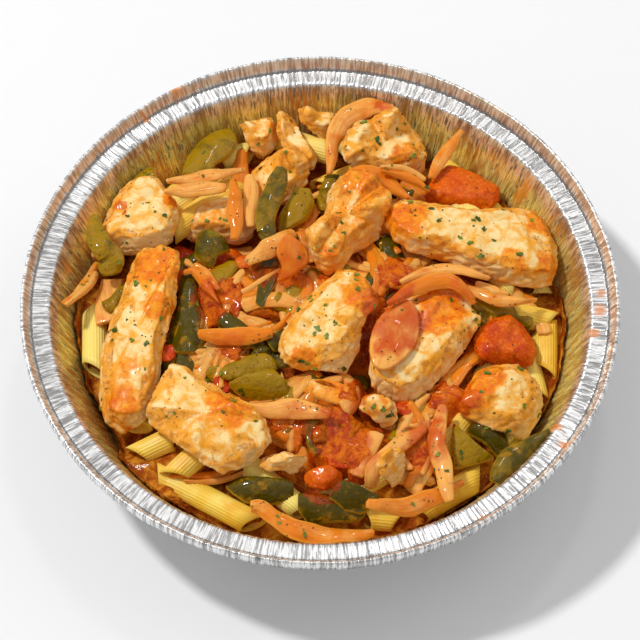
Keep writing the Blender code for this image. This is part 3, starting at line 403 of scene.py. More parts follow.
def foil_finish():
    material, tree, shader = finish("crimped_foil", {})
    place = places(tree)
    x, y, z = (node(tree, "ShaderNodeSeparateXYZ", None, [place], out=k) for k in range(3))
    turn = y.math("ARCTAN2", y, x)
    flat = stretched(place, (1.0, 1.0, 0.0))
    radius = vector_math("LENGTH", flat, out=1)
    inside = mark(tree, "inside")
    ring = joined(tree, turn.cos() * LEDGE_MIDDLE, turn.sin() * LEDGE_MIDDLE, (radius + z) * 0.09)
    streak = grain(ring, 1.0, 2.0, 0.6)
    hair = grain(ring, 0.5, 2.0, 0.6, 0.0, (0.0, 0.0, 30.0))
    broad = grain(ring, 3.4, 3.0, 0.6, 0.0, (0.0, 0.0, 60.0))
    ledge = band(radius, 103.6, 104.4) * (1.0 - band(radius, 109.9, 110.5)) * band(z, 40.6, 41.0)
    crease = band(radius, 109.9, 110.3) * (1.0 - band(radius, 110.7, 111.2)) * band(z, 40.8, 41.2)
    lip = band(radius, 110.9, 111.7) * (1.0 - band(radius, 113.0, 113.6)) * inside
    bead = band(radius, 112.9, 113.6)
    wall = inside * (1.0 - band(radius, 103.2, 104.0))
    # Painted glints on the crimps: bright streaks for the key light caught by the foil, grey ones for the
    # darker room it mirrors.
    painted_glint = band(streak * 0.7 + hair * 0.3, 0.45, 0.55)
    metal = blend(painted_glint, (0.46, 0.455, 0.45, 1.0), (0.95, 0.945, 0.94, 1.0))
    # Painted sheen on the outer wall: its pleats light and dark, as the folds mirror the room.
    tall = joined(tree, turn.cos() * LEDGE_MIDDLE, turn.sin() * LEDGE_MIDDLE, z * 0.025)
    pleats = grain(tall, 1.5, 2.0, 0.5)
    outer = (1.0 - inside) * (1.0 - band(z, 38.0, 40.5))
    painted_fold_sheen = blend(band(pleats, 0.38, 0.62), (0.56, 0.555, 0.55, 1.0), (0.9, 0.895, 0.89, 1.0))
    metal = blend(outer, metal, painted_fold_sheen)
    # Painted reflection on the lip's inner face: food-coloured browns with pale painted glints along the
    # streaks, more orange near its top.
    painted_lip_reflection = blend(band(streak * 0.6 + broad * 0.4, 0.4, 0.6), rgb(188, 142, 94), rgb(252, 222, 176))
    painted_lip_reflection = blend(band(z, 43.6, 45.8) * band(broad, 0.4, 0.6) * 0.6, painted_lip_reflection, rgb(232, 172, 122))
    metal = blend(lip * 0.7, metal, painted_lip_reflection)
    # Painted reflection on the wall: golden where the food mirrors in it, pale painted glints on the pleats,
    # mauve-brown higher up, and painted shade in the dark streaks.
    pleat = band(streak * 0.5 + broad * 0.5, 0.43, 0.56)
    drift = grain(flat, 34.0, 2.0)
    gold = blend(band(drift, 0.4, 0.6), rgb(214, 142, 36), rgb(200, 166, 54))
    gold = blend(pleat, gold, rgb(255, 240, 128))
    gold = blend(band(z + (broad - 0.5) * 16.0, 33.0, 39.0) * 0.85, gold,
                 blend(pleat, rgb(140, 98, 70), rgb(240, 202, 162)))
    gold = blend(band(hair * 0.35 + streak * 0.65, 0.56, 0.6) * 0.85, gold, rgb(60, 30, 10))
    metal = blend(wall * 0.92, metal, gold)
    # Painted shade along the crease between ledge and lip.
    metal = blend(crease * band(streak + hair * 0.4, 0.5, 0.7) * 0.6, metal, (0.1, 0.08, 0.07, 1.0))
    # Dark specks along the bead.
    bead_specks = band(grain(ring, 1.3, 2.0, 0.6, 0.0, (0.0, 0.0, 90.0)), 0.6, 0.66) * bead
    metal = blend(bead_specks * 0.7, metal, (0.16, 0.14, 0.13, 1.0))
    smear = None
    for at_x, at_y, reach in SMEARS:
        away = vector_math("DISTANCE", flat, (at_x, at_y, 0.0), out=1) + (streak - 0.5) * 7.0
        spot = 1.0 - band(away, reach * 0.4, reach)
        smear = spot if smear is None else smear.most(spot)
    smear = smear * (1.0 - outer)
    metal = blend(smear * 0.75, metal, rgb(226, 132, 26))
    feed(shader, "Base Color", metal)
    # Less metal where the painted glints and painted reflections lie, so their colour shows.
    feed(shader, "Metallic", 1.0 - (painted_glint * 0.35 + 0.35) * (ledge + bead * 0.8).least(1.0) - wall * 0.65
         - lip * 0.4 - smear * 0.6)
    feed(shader, "Roughness", 0.2 + hair * 0.14)
    feed(shader, "Normal", bumped(streak + hair * 0.4 + broad * 1.8, 0.35, 0.75))
    return material


def herb_finish():
    material, tree, shader = finish("parsley", {"Roughness": 0.5, "Specular IOR Level": 0.3})
    tone = grain(places(tree), 6.0, 1.0)
    feed(shader, "Base Color", blend(band(tone, 0.35, 0.65), rgb(58, 80, 12), rgb(122, 140, 40)))
    return material


def speck_finish():
    material, tree, shader = finish("black_pepper", {"Roughness": 0.6})
    tone = grain(places(tree), 3.0, 1.0)
    feed(shader, "Base Color", blend(band(tone, 0.4, 0.7), rgb(26, 14, 6), rgb(84, 46, 18)))
    return material


# ---- Meshes ----

LATTICE = np.random.default_rng(5).uniform(-1.0, 1.0, (64, 64, 64))


def ripple(spots, size, shift=0.0):
    """Smooth noise between -1 and 1, with features of the given size, for an array of places."""
    spots = np.asarray(spots, float) / size + shift
    cell = np.floor(spots).astype(int)
    t = spots - cell
    t = t * t * (3.0 - 2.0 * t)
    total = 0.0
    for i in (0, 1):
        for j in (0, 1):
            for k in (0, 1):
                share = (np.where(i, t[:, 0], 1 - t[:, 0]) * np.where(j, t[:, 1], 1 - t[:, 1])
                         * np.where(k, t[:, 2], 1 - t[:, 2]))
                total = total + share * LATTICE[(cell[:, 0] + i) % 64, (cell[:, 1] + j) % 64,
                                                (cell[:, 2] + k) % 64]
    return total


def smooth_step(value, low, high):
    t = np.clip((value - low) / (high - low), 0.0, 1.0)
    return t * t * (3.0 - 2.0 * t)


# Where red sauce lies on the food: x, y, reach, strength
SAUCE_POOLS = [
    (27, -6, 15, 1.0), (28, -20, 11, 1.0), (9, -56, 15, 1.0), (0, -74, 10, 0.9), (16, -66, 9, 0.8),
    (52, 0, 9, 0.7), (62, 18, 5, 0.6), (-40, 4, 11, 0.9), (-33, -18, 8, 0.7), (-12, 14, 10, 0.6),
    (14, -38, 8, 0.8), (2, 14, 7, 0.4), (30, 70, 6, 0.6), (-76, -54, 9, 0.9), (29, 15, 9, 0.9),
    (28, -10, 17, 1.0),
    (64, -40, 7, 0.3), (50, -40, 11, 1.0), (40, -58, 12, 0.9), (40, 14, 6, 0.4),
    (-10, -52, 8, 0.5), (60, -14, 8, 0.6), (-79, 47, 2.8, 1.0), (26, 93, 3.2, 1.0), (77, 19, 3.4, 0.9),
    (-79, -44, 4, 0.6),
]

# Where golden oil and spice coat the chicken
GLAZE_POOLS = [
    (-64, 16, 13, 1.0), (-62, -4, 9, 0.8), (-77, -43, 11, 0.9), (-72, -28, 7, 0.5), (-35, -48, 11, 0.9),
    (17, -1, 10, 0.9), (-6, -28, 7, 0.8), (-12, -4, 5, 0.5), (12, 32, 15, 0.55),
    (4, 17, 8, 0.8), (18, 50, 12, 0.9), (46, -4, 15, 1.0), (28, -14, 16, 1.0), (87, 40, 8, 0.8),
    (89, 19, 8, 1.0), (76, 19, 7, 0.6), (33, 35, 11, 1.0), (46, 18, 8, 0.7), (35, 71, 8, 0.6),
    (24, 88, 5, 0.4), (-20, 84, 8, 0.4), (-8, 90, 6, 0.3), (-58, 50, 6, 0.9), (62, -33, 11, 1.0),
    (56, -42, 8, 0.9), (22, -46, 6, 0.6), (-14, 70, 7, 0.5), (70, 44, 6, 0.4), (3, -38, 8, 0.9),
    (-40, 42, 7, 0.5),
]


def pooled(spots, pools, ragged):
    """How much lies at each place: round pools with ragged edges."""
    bend = (ripple(spots, 4.5, 2.0) * 0.65 + ripple(spots, 1.7, 7.0) * 0.35) * ragged
    total = np.zeros(len(spots))
    for x, y, reach, strength in pools:
        away = np.hypot(spots[:, 0] - x, spots[:, 1] - y) + bend
        total = np.maximum(total, (1.0 - smooth_step(away, reach * 0.45, reach * 1.1)) * strength)
    return total


def solid_of(name):
    """A merged copy of a CAD node's mesh."""
    mesh = bmesh.new()
    mesh.from_mesh(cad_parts[name].data)
    bmesh.ops.remove_doubles(mesh, verts=mesh.verts, dist=0.01 * MM)
    mesh.verts.index_update()
    verts = np.array([v.co for v in mesh.verts]) / MM
    faces = [tuple(v.index for v in face.verts) for face in mesh.faces]
    mesh.free()
    return verts, faces


def link(thing):
    bpy.context.scene.collection.objects.link(thing)
    return thing


def mesh_of(name, verts, faces):
    mesh = bpy.data.meshes.new(name)
    mesh.from_pydata(verts, [], faces)
    return mesh


def set_marks(mesh, marks):
    """Gives every corner a value under each name."""
    for label, values in marks.items():
        values = np.broadcast_to(np.asarray(values, float), len(mesh.vertices))
        mesh.attributes.new(label, "FLOAT", "POINT").data.foreach_set("value", values)


def ring_faces(rows, around):
    """Quads between each ring of corners and the next."""
    return [(k * around + i, (k + 1) * around + i, (k + 1) * around + (i + 1) % around,
             k * around + (i + 1) % around) for k in range(rows - 1) for i in range(around)]


def capped_rings(rows, around):
    """Rings closed by two last corners: one before the first ring, one beyond the last."""
    tip = rows * around
    last = tip - around
    return (ring_faces(rows, around)
            + [(tip, i, (i + 1) % around) for i in range(around)]
            + [(tip + 1, last + (i + 1) % around, last + i) for i in range(around)])


def prism_faces(n):
    """An upper and a lower outline of n corners, and the sides between them."""
    return ([tuple(range(n)), tuple(range(2 * n - 1, n - 1, -1))]
            + [(k, n + k, n + (k + 1) % n, (k + 1) % n) for k in range(n)])


def arrays_of(mesh):
    """Corners, normals and faces of a mesh."""
    count = len(mesh.vertices)
    verts = np.empty(count * 3)
    mesh.vertices.foreach_get("co", verts)
    normals = np.empty(count * 3)
    mesh.vertices.foreach_get("normal", normals)
    faces = [tuple(face.vertices) for face in mesh.polygons]
    return verts.reshape(-1, 3), normals.reshape(-1, 3), faces


def flesh_out(verts, faces, voxel, rounds):
    """A fine even skin over a coarse solid, smoothed."""
    thing = link(bpy.data.objects.new("coarse", mesh_of("coarse", [tuple(v) for v in verts], faces)))
    skin = thing.modifiers.new("skin", "REMESH")
    skin.mode = "VOXEL"
    skin.voxel_size = voxel
    relax = thing.modifiers.new("relax", "SMOOTH")
    relax.factor = 0.5
    relax.iterations = rounds
    graph = bpy.context.evaluated_depsgraph_get()
    fine = bpy.data.meshes.new_from_object(thing.evaluated_get(graph))
    result = arrays_of(fine)
    bpy.data.objects.remove(thing, do_unlink=True)
    bpy.data.meshes.remove(fine)
    return result


def make_piece(name, verts, faces, material, stands_for=(), marks=None):
    """A finished piece of food that rides on the tray."""
    mesh = mesh_of(name, (np.asarray(verts) * MM).tolist(), faces)
    mesh.materials.append(material)
    mesh.shade_smooth()
    marks = dict(marks or {}, sauce=pooled(verts, SAUCE_POOLS, POOL_RAGGED))
    set_marks(mesh, marks)
    piece = link(bpy.data.objects.new(name, mesh))
    return own(piece, stands_for)


def own(piece, stands_for=()):
    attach(piece, BODY)
    if stands_for:
        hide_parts(*stands_for)
    return piece


def heap_surface(x, y):
    return CROWN_HEIGHT - CROWN_FALL * (x * x + y * y) / CROWN_REACH ** 2


def along_sight(x, y, z):
    """The place at height z that looks the same as (x, y) at SIGHT_LEVEL."""
    eye_y = -EYE_DISTANCE * math.cos(EYE_TILT)
    eye_z = EYE_TARGET + EYE_DISTANCE * math.sin(EYE_TILT)
    t = (eye_z - z) / (eye_z - SIGHT_LEVEL)
    return x * t, eye_y + (y - eye_y) * t


# ---- Chicken ----

def grain_way(verts, turn):
    """The direction of the meat's fibres: along the piece, turned a little."""
    flat = verts[:, :2] - verts[:, :2].mean(axis=0)
    _, axes = np.linalg.eigh(flat.T @ flat)
    way = axes[:, 1]
    c, s = math.cos(turn), math.sin(turn)
    return np.array([way[0] * c - way[1] * s, way[0] * s + way[1] * c, 0.0])


def cook_chicken(name, number, material):
    """A torn, seared piece of chicken over its solid."""
    rng = np.random.default_rng(CHICKEN_SEED + number)
    verts, normals, faces = flesh_out(*solid_of(name), CHICKEN_VOXEL, 2)
    way = grain_way(verts, rng.uniform(-0.5, 0.5))
    across = np.array([-way[1], way[0], 0.0])
    shift = number * 7.7
    threads = np.column_stack([verts @ way / 8.0, verts @ across / 1.35, verts[:, 2] / 1.35])
    fibre = ripple(threads, 1.0, shift)
    side = 1.0 - smooth_step(normals[:, 2], 0.3, 0.7)
    rim = smooth_step(normals[:, 2], 0.25, 0.6) * (1.0 - smooth_step(normals[:, 2], 0.8, 0.97))
    push = 0.35 + 0.6 * ripple(verts, 13.0, shift) + 0.28 * ripple(verts, 6.0, shift + 3)
    crease = 1.0 - np.abs(ripple(verts, 9.0, shift + 6))
    push += 0.3 * crease ** 6 * (1.0 - side) - 0.1
    push += fibre * (0.05 + 0.5 * side + 0.2 * rim) + 0.07 * ripple(verts, 1.4, shift + 5)
    push += 0.35 * ripple(verts, 2.6, shift + 8) * (rim + side * 0.5)
    split = 1.0 - smooth_step(np.abs(ripple(threads * np.array([0.7, 0.25, 0.25]), 1.0, shift + 9)), 0.0, 0.1)
    push -= split * (0.06 + 0.5 * side)
    push += 0.7 * ripple(verts * np.array([1.0, 1.0, 0.4]), 5.0, shift + 11) * (0.6 * side + 0.5 * rim)
    verts = verts + normals * push[:, None]
    marks = {"side": side, "fibre": fibre * 0.5 + 0.5, "rim": rim,
             "glaze": pooled(verts, GLAZE_POOLS, POOL_RAGGED)}
    return make_piece(name + "_seared", verts, faces, material, [name], marks)


# ---- Strips: sections read from a solid, or drawn along a path ----

def graph_reach(links, start):
    """The shortest way along edges from one corner to every other."""
    reach = {start: 0.0}
    queue = [(0.0, start)]
    while queue:
        distance, here = heapq.heappop(queue)
        if distance > reach[here]:
            continue
        for other, length in links[here].items():
            if distance + length < reach.get(other, 1e9):
                reach[other] = distance + length
                heapq.heappush(queue, (distance + length, other))
    return reach


# Corners round a section of a strip's solid
STRIP_SIDES = 6


def sections_of(name):
    """The middle line, half widths and thickness of a strip's solid."""
    verts, faces = solid_of(name)
    links = {k: {} for k in range(len(verts))}
    for face in faces:
        for a, b in zip(face, face[1:] + face[:1]):
            length = float(np.linalg.norm(verts[a] - verts[b]))
            links[a][b] = length
            links[b][a] = length
    first = graph_reach(links, 0)
    one = max(first, key=first.get)
    from_one = graph_reach(links, one)
    other = max(from_one, key=from_one.get)
    from_other = graph_reach(links, other)
    order = sorted(links, key=lambda k: from_one[k] / (from_one[k] + from_other[k]))
    groups = np.array_split(np.array(order), max(len(order) // STRIP_SIDES, 3))
    mids = np.array([verts[g].mean(axis=0) for g in groups])
    halves = []
    thick = []
    for k, g in enumerate(groups):
        along = mids[min(k + 1, len(mids) - 1)] - mids[max(k - 1, 0)]
        side = np.array([along[1], -along[0], 0.0])
        side /= max(np.linalg.norm(side), 1e-6)
        halves.append(np.abs((verts[g] - mids[k]) @ side).max())
        thick.append(np.ptp(verts[g][:, 2]))
    return mids, np.array(halves), float(np.median(thick))


def curve_rows(values, count):
    """Values along a smooth curve through rows, at evenly spaced places."""
    rows = np.atleast_2d(np.asarray(values, float).T).T
    n = len(rows)
    at = np.linspace(0, n - 1, count)
    k = np.clip(at.astype(int), 0, n - 2)
    t = (at - k)[:, None]
    a = rows[np.clip(k - 1, 0, n - 1)]
    b = rows[k]
    c = rows[k + 1]
    d = rows[np.clip(k + 2, 0, n - 1)]
    return 0.5 * (2 * b + (c - a) * t + (2 * a - 5 * b + 4 * c - d) * t * t
                  + (3 * b - a - 3 * c + d) * t ** 3)


# Strips: thickness, bow across, crispness of the edges, thinning toward them, twist, sway
STRIP_LOOK = {
    "onion": (1.3, 0.8, 4.0, 0.3, 0.45, 0.7),
    "pepper": (2.5, 1.0, 5.0, 0.1, 0.25, 0.5),
}


def sweep_strip(food, mids, halves, seed, ends, row_step=0.8, ring=20, lean=None):
    """A cut strip swept along its middle line, curved across. ends: how wide it stays at its ends."""
    thick, bow, crisp, thin, twist, sway = STRIP_LOOK[food]
    length = float(np.linalg.norm(np.diff(mids, axis=0), axis=1).sum())
    count = int(max(length / row_step, 14))
    line = curve_rows(mids, count)
    half = curve_rows(halves, count)[:, 0]
    s = np.linspace(0, length, count)
    probe = np.column_stack([s, np.full(count, seed * 3.3), np.zeros(count)])
    ahead = np.gradient(line, axis=0)
    ahead /= np.maximum(np.linalg.norm(ahead, axis=1, keepdims=True), 1e-6)
    side = np.column_stack([ahead[:, 1], -ahead[:, 0], np.zeros(count)])
    side /= np.maximum(np.linalg.norm(side, axis=1, keepdims=True), 1e-6)
    up = np.cross(side, ahead)
    tilt = ripple(probe, 12.0, 1.0) * twist
    if lean is not None:
        tilt = tilt * 0.5 + curve_rows(lean, count)[:, 0]
    turn = tilt[:, None]
    side, up = side * np.cos(turn) + up * np.sin(turn), up * np.cos(turn) - side * np.sin(turn)
    line = line + side * (ripple(probe, 9.0, 4.0) * sway)[:, None]
    line = line + up * (ripple(probe, 7.0, 8.0) * sway * 0.6)[:, None]
    blunt = np.ones(count)
    for away, end in ((s, ends[0]), (length - s, ends[1])):
        tip = np.clip(away / np.maximum(half * 0.45 * end, 0.5), 0.0, 1.0)
        blunt = blunt * np.sqrt(1.0 - (1.0 - tip) ** 2 * 0.97)
        half = half * (end + (1.0 - end) * smooth_step(away, 0.0, length * 0.5))
    half = half * blunt * (1.0 + 0.1 * ripple(probe, 6.0, 12.0))
    c = np.sin(np.linspace(-math.pi / 2, math.pi / 2, ring // 2 + 1))
    v = np.concatenate([c[::-1], c[1:-1]])
    w = np.clip(1.0 - np.abs(v) ** crisp, 0.0, 1.0) ** (1.0 / crisp)
    w = w * np.repeat([1.0, -1.0], [len(c), len(c) - 2])
    body = thick / 2 * (1.0 - thin * v ** 4)
    spots = []
    for k in range(count):
        lift = w * body * (0.3 + 0.7 * blunt[k]) - bow * v * v * blunt[k]
        spots.append(line[k] + np.outer(v * half[k], side[k]) + np.outer(lift, up[k]))
    spots = np.concatenate(spots + [line[:1], line[-1:]])
    marks = {"across": np.append(np.tile(v, count), [0.0, 0.0]),
             "along": np.append(np.repeat(s, ring), [0.0, length]),
             "side": np.append(np.tile(smooth_step(np.abs(v), 0.93, 0.985), count), [1.0, 1.0])}
    return spots, capped_rings(count, ring), marks


def join(parts):
    """One mesh from several, with their marks."""
    verts = np.concatenate([spots for spots, _, _ in parts])
    faces = []
    base = 0
    for spots, shapes, _ in parts:
        faces += [tuple(i + base for i in shape) for shape in shapes]
        base += len(spots)
    marks = {}
    for label in sorted({label for part in parts for label in part[2]}):
        marks[label] = np.concatenate([np.broadcast_to(np.asarray(part[2].get(label, 0.0), float),
                                                       len(part[0])) for part in parts])
    return verts, faces, marks


def onion_slivers(mids, halves, rng, number, lean=None, row_step=0.8, ring=20):
    """A slice of onion: one broad sliver, or two narrower ones that lie side by side."""
    side = np.gradient(mids, axis=0)[:, [1, 0, 2]] * np.array([1.0, -1.0, 0.0])
    side /= np.maximum(np.linalg.norm(side, axis=1, keepdims=True), 1e-6)
    hand = rng.choice([-1.0, 1.0])
    parts = []
    split = ((0.66, -0.38, 0.0), (0.5, 0.5, 0.5)) if rng.uniform() < SLIVER_SPLITS else ((1.0, 0.0, 0.0),)
    for k, (share, shift, rise) in enumerate(split):
        n = len(mids)
        first, last = 0, n
        if k > 0:
            first = int(rng.integers(0, n // 4 + 1))
            last = n - int(rng.integers(0, n // 3 + 1))
        if last - first < 4:
            first, last = 0, n
        way = mids + side * (halves * shift * hand)[:, None] + np.array([0.0, 0.0, rise])
        spots, faces, marks = sweep_strip(
            "onion", way[first:last], halves[first:last] * share, number + k * 50,
            rng.uniform(0.35, 1.0, 2), row_step, ring, None if lean is None else lean[first:last])
        marks["tone"] = rng.uniform()
        parts.append((spots, faces, marks))
    return parts


def cook_strip(name, number, material):
    food = name.split("_")[0]
    rng = np.random.default_rng(STRIP_SEED + number)
    mids, halves, thick = sections_of(name)
    mids[:, 2] += (thick - STRIP_LOOK[food][0]) * 0.35
    if food == "onion":
        parts = onion_slivers(mids, halves + 0.6, rng, number)
    else:
        spots, faces, marks = sweep_strip(food, mids, halves + 0.3, number, rng.uniform(0.7, 1.0, 2))
        parts = [(spots, faces, dict(marks, tone=rng.uniform()))]
    verts, faces, marks = join(parts)
    return make_piece(name + "_stewed", verts, faces, material, [name], marks)


# Chunks: voxel, rounds of smoothing, swell, slow lumps, quick lumps, lift and sink of the whole
CHUNK_LOOK = {
    "onion": (0.5, 2, 0.0, 0.12, 0.04, 0.6),
    "pepper": (0.45, 1, 0.0, 0.15, 0.05, 1.2),
    "tomato": (0.7, 3, 0.3, 0.7, 0.3, 0.2),
    "chicken": (0.7, 3, 0.2, 0.6, 0.3, 0.2),
}


def dress_chunk(verts, faces, food, number):
    """A fine skin over a flat chunk, and its marks."""
    voxel, rounds, swell, slow, quick, wave = CHUNK_LOOK[food]
    verts, normals, faces = flesh_out(verts, faces, voxel, rounds)
    push = swell + slow * ripple(verts, 7.0, number * 5.1) + quick * ripple(verts, 2.4, number * 2.3)
    centre = verts.mean(axis=0)
    way = grain_way(verts, 0.2)
    cross = np.array([-way[1], way[0], 0.0])
    flat = verts - centre
    across = flat @ cross / np.abs(flat @ cross).max()
    flat_places = verts * np.array([1.0, 1.0, 0.0])
    verts = verts + normals * push[:, None]
    verts[:, 2] += wave * ripple(flat_places, 9.0, number * 1.9)
    tone = float(np.random.default_rng(CHUNK_SEED + number).uniform())
    side = 1.0 - smooth_step(normals[:, 2], 0.35, 0.75)
    marks = {"across": across, "along": flat @ way, "tone": tone, "side": side}
    if food == "chicken":
        marks = {"side": side, "fibre": 0.5, "rim": 0.3, "glaze": 0.6}
    return verts, faces, marks


# Flat cuts: thickness, and outline in plan as the viewer sees it at SIGHT_LEVEL
FLAT_CUTS = {
    "pepper_back_left": (4, [(-55, 64), (-53, 73), (-48, 80), (-42, 85), (-36, 86), (-33, 80), (-36, 74),
        (-42, 69), (-43, 63)]),
    "pepper_behind_onion": (4, [(-10, 58), (-4, 57), (-2, 49), (-5, 42), (-16, 36), (-16, 44), (-12, 52)]),
    "pepper_left_upright": (4.5, [(-54, 15), (-49, 16), (-47, 5), (-46, -8), (-44, -15), (-48, -19),
        (-55, -19), (-58, -13), (-55, 0)]),
    "pepper_front_right_b": (4, [(55, -55), (57, -51), (63, -51), (69, -54), (71, -62), (67, -66),
        (61, -61)]),
    "pepper_front_right_a": (4, [(50, -50), (54, -54), (60, -60), (65, -65), (60, -67), (50, -70),
        (49, -60)]),
    "pepper_front_dark": (4, [(-35, -77), (-29, -73), (-20, -73), (-10, -75), (-10, -83), (-18, -85),
        (-28, -84)]),
    "pepper_front_middle": (4, [(-8, -80), (2, -81), (9, -86), (17, -88), (13, -92), (4, -93), (-4, -93),
        (-8, -88)]),
    "pepper_front_square": (4, [(7, -75), (13, -76), (21, -80), (22, -84), (15, -88), (9, -87), (3, -82)]),
    "pepper_left_leaf": (3.6, [(-77, 54), (-75, 64), (-71, 71), (-67, 67), (-65, 58)]),
    "pepper_curl": (5, [(-49, 25), (-48, 35), (-44, 37), (-38, 34), (-35, 28), (-40, 26), (-42, 20)]),
    "pepper_middle_b": (4.5, [(-35, -33), (-28, -29), (-18, -27), (-14, -31), (-12, -37), (-18, -39),
        (-29, -38)]),
    "onion_inner_leaf": (3, [(-13, 35), (-17, 27), (-15, 20), (-16, 13), (-10, 17), (-5, 22), (-6, 29)]),
    "onion_round_slice": (3, [(19, -14), (22, -5), (29, 2), (35, 4), (38, -4), (37, -14), (32, -22),
        (25, -27), (20, -24)]),
}


def upper_side(verts, faces):
    """A gently curved surface through the upper side of a solid: height for arrays of x and y."""
    picked = set()
    for face in faces:
        a, b, c = (verts[k] for k in face[:3])
        normal = np.cross(b - a, c - a)
        if normal[2] > 0.35 * np.linalg.norm(normal):
            picked.update(face)
    spots = verts[sorted(picked)]
    mid = spots.mean(axis=0)

    def terms(x, y):
        x = (np.asarray(x) - mid[0]) / 10.0
        y = (np.asarray(y) - mid[1]) / 10.0
        return np.stack([np.ones_like(x), x, y, x * x, x * y, y * y], axis=-1)

    shape = np.linalg.lstsq(terms(spots[:, 0], spots[:, 1]), spots[:, 2], rcond=None)[0]
    low, high = spots[:, 2].min() - 0.5, spots[:, 2].max() + 0.3
    return lambda x, y: np.clip(terms(x, y) @ shape, low, high)


def cook_flat_cut(name, number, material):
    """An even cut of pepper or onion, curved like its solid."""
    food = name.split("_")[0]
    thick, outline = FLAT_CUTS[name]
    level = upper_side(*solid_of(name))
    fine = CUT_STEPS
    around = np.array([outline[-1]] + outline + outline[:2], float)
    loop = curve_rows(around, fine * (len(outline) + 2) + 1)[fine:-fine]
    if food == "pepper":
        straight = [(np.array(a) * (fine - k) + np.array(b) * k) / fine
                    for a, b in zip(outline, outline[1:] + outline[:1]) for k in range(fine)]
        loop = loop * 0.25 + np.array(straight + straight[:1]) * 0.75
    edge = []
    for x, y in loop[:-1]:
        at = (x, y)
        for _ in range(3):
            at = along_sight(x, y, float(level(*at)))
        edge.append(at)
    prism = np.array([(x, y, 0.0) for x, y in edge] + [(x, y, -thick * CUT_SHARE) for x, y in edge])
    verts, faces, marks = dress_chunk(prism, prism_faces(len(edge)), food, number)
    verts[:, 2] += level(verts[:, 0], verts[:, 1])
    return make_piece(name + "_stewed", verts, faces, material, [name], marks)


def cook_chunk(name, number, material):
    food = name.split("_")[0]
    verts, faces, marks = dress_chunk(*solid_of(name), food, number)
    return make_piece(name + "_stewed", verts, faces, material, [name], marks)


# ---- Penne ----

# Tubes that show: rise over the heap's surface, and the two ends of the axis
PENNE = [
    (-3.0, (-62, -75), (-24, -93)), (-2.0, (-70, -66), (-53, -56)), (0.5, (-54, -73), (-43, -61)),
    (-5.0, (-92, 0), (-86, -28)), (-2.0, (73, -2), (95, -6)), (-5.0, (86, -9), (88, -29)),
    (-8.0, (79, -24), (84, -39)), (-8.0, (77, -38), (84, -45)), (-5.0, (51, 68), (64, 62)),
    (-7.0, (66, 54), (77, 43)), (-7.0, (82, 11), (92, 8)), (-4.0, (16, -90), (30, -94)),
    (-3.0, (36, -91), (62, -77)), (-5.0, (-42, 71), (-28, 73)), (-7.0, (1, 56), (13, 62)),
]


def wall_radius(z):
    """The wall's inner radius at height z."""
    return FOOT_RADIUS + (min(max(z, 5.0), 40.0) - 5.0) / 35.3 * (LEDGE_INNER - 1.2 - FOOT_RADIUS) - 0.6


def penne_ends(rise, start, finish_at):
    ends = []
    for x, y in (start, finish_at):
        z = heap_surface(x, y) + rise - PENNE_RADIUS
        ends.append(Vector((*along_sight(x, y, z), z)))
    return keep_inside(ends)


def keep_inside(ends):
    """Moves the ends of a tube in from the wall."""
    for _ in range(20):
        out = [max(math.hypot(p.x, p.y) + PENNE_RADIUS - wall_radius(p.z - 2.0), 0) for p in ends]
        for p, over in zip(ends, out):
            radius = math.hypot(p.x, p.y)
            p.x -= p.x / radius * over
            p.y -= p.y / radius * over
    return ends


def apart(one, other):
    """The least distance between two tubes' axes, from points along them."""
    a = np.array([one[0].lerp(one[1], k / 8) for k in range(9)])
    b = np.array([other[0].lerp(other[1], k / 8) for k in range(9)])
    return np.linalg.norm(a[:, None] - b[None], axis=2).min()


def rim_penne(known):
    """More tubes, half sunk in the bed along the wall, clear of the ones that are known."""
    rng = np.random.default_rng(RIM_SEED)
    found = []
    for _ in range(RIM_TRIES):
        turn = rng.uniform(0, 2 * math.pi)
        radius = rng.uniform(*RIM_RADIUS_RANGE)
        heading = turn + math.pi / 2 + rng.uniform(-0.8, 0.8)
        half = rng.uniform(*RIM_HALF_LENGTH)
        sink = rng.uniform(*RIM_SINK)
        ends = []
        for sign in (-1, 1):
            x = radius * math.cos(turn) + sign * half * math.cos(heading)
            y = radius * math.sin(turn) + sign * half * math.sin(heading)
            ends.append(Vector((x, y, heap_surface(x, y) - PENNE_RADIUS - sink)))
        ends = keep_inside(ends)
        if min(math.hypot(p.x, p.y) for p in ends) < RIM_CLEAR_RADIUS:
            continue
        if min(apart(ends, other) for other in known + found) > 1.8 * PENNE_RADIUS:
            found.append(ends)
    return found


def tube_form(ribs, steps, rows):
    """One closed tube wall as a ring of rows: outside from end to end, then back inside."""
    around = ribs * steps
    outer = [(k / (rows - 1), 1.0) for k in range(rows)]
    inner = [(1.0, 0.5), (0.97, 0.0), (0.5, 0.0), (0.03, 0.0), (0.0, 0.5)]
    loop = outer + inner
    turn = np.tile(np.arange(around) * 2 * math.pi / around, len(loop))
    along = np.repeat([p[0] for p in loop], around)
    layer = np.repeat([p[1] for p in loop], around)
    faces = []
    for k in range(len(loop)):
        n = (k + 1) % len(loop)
        for i in range(around):
            j = (i + 1) % around
            faces.append((k * around + i, k * around + j, n * around + j, n * around + i))
    mesh = mesh_of("tube_form", np.column_stack([np.cos(turn), np.sin(turn), along]).tolist(), faces)
    set_marks(mesh, {"turn": turn, "along": along, "layer": layer})
    return bpy.data.objects.new("tube_form", mesh)


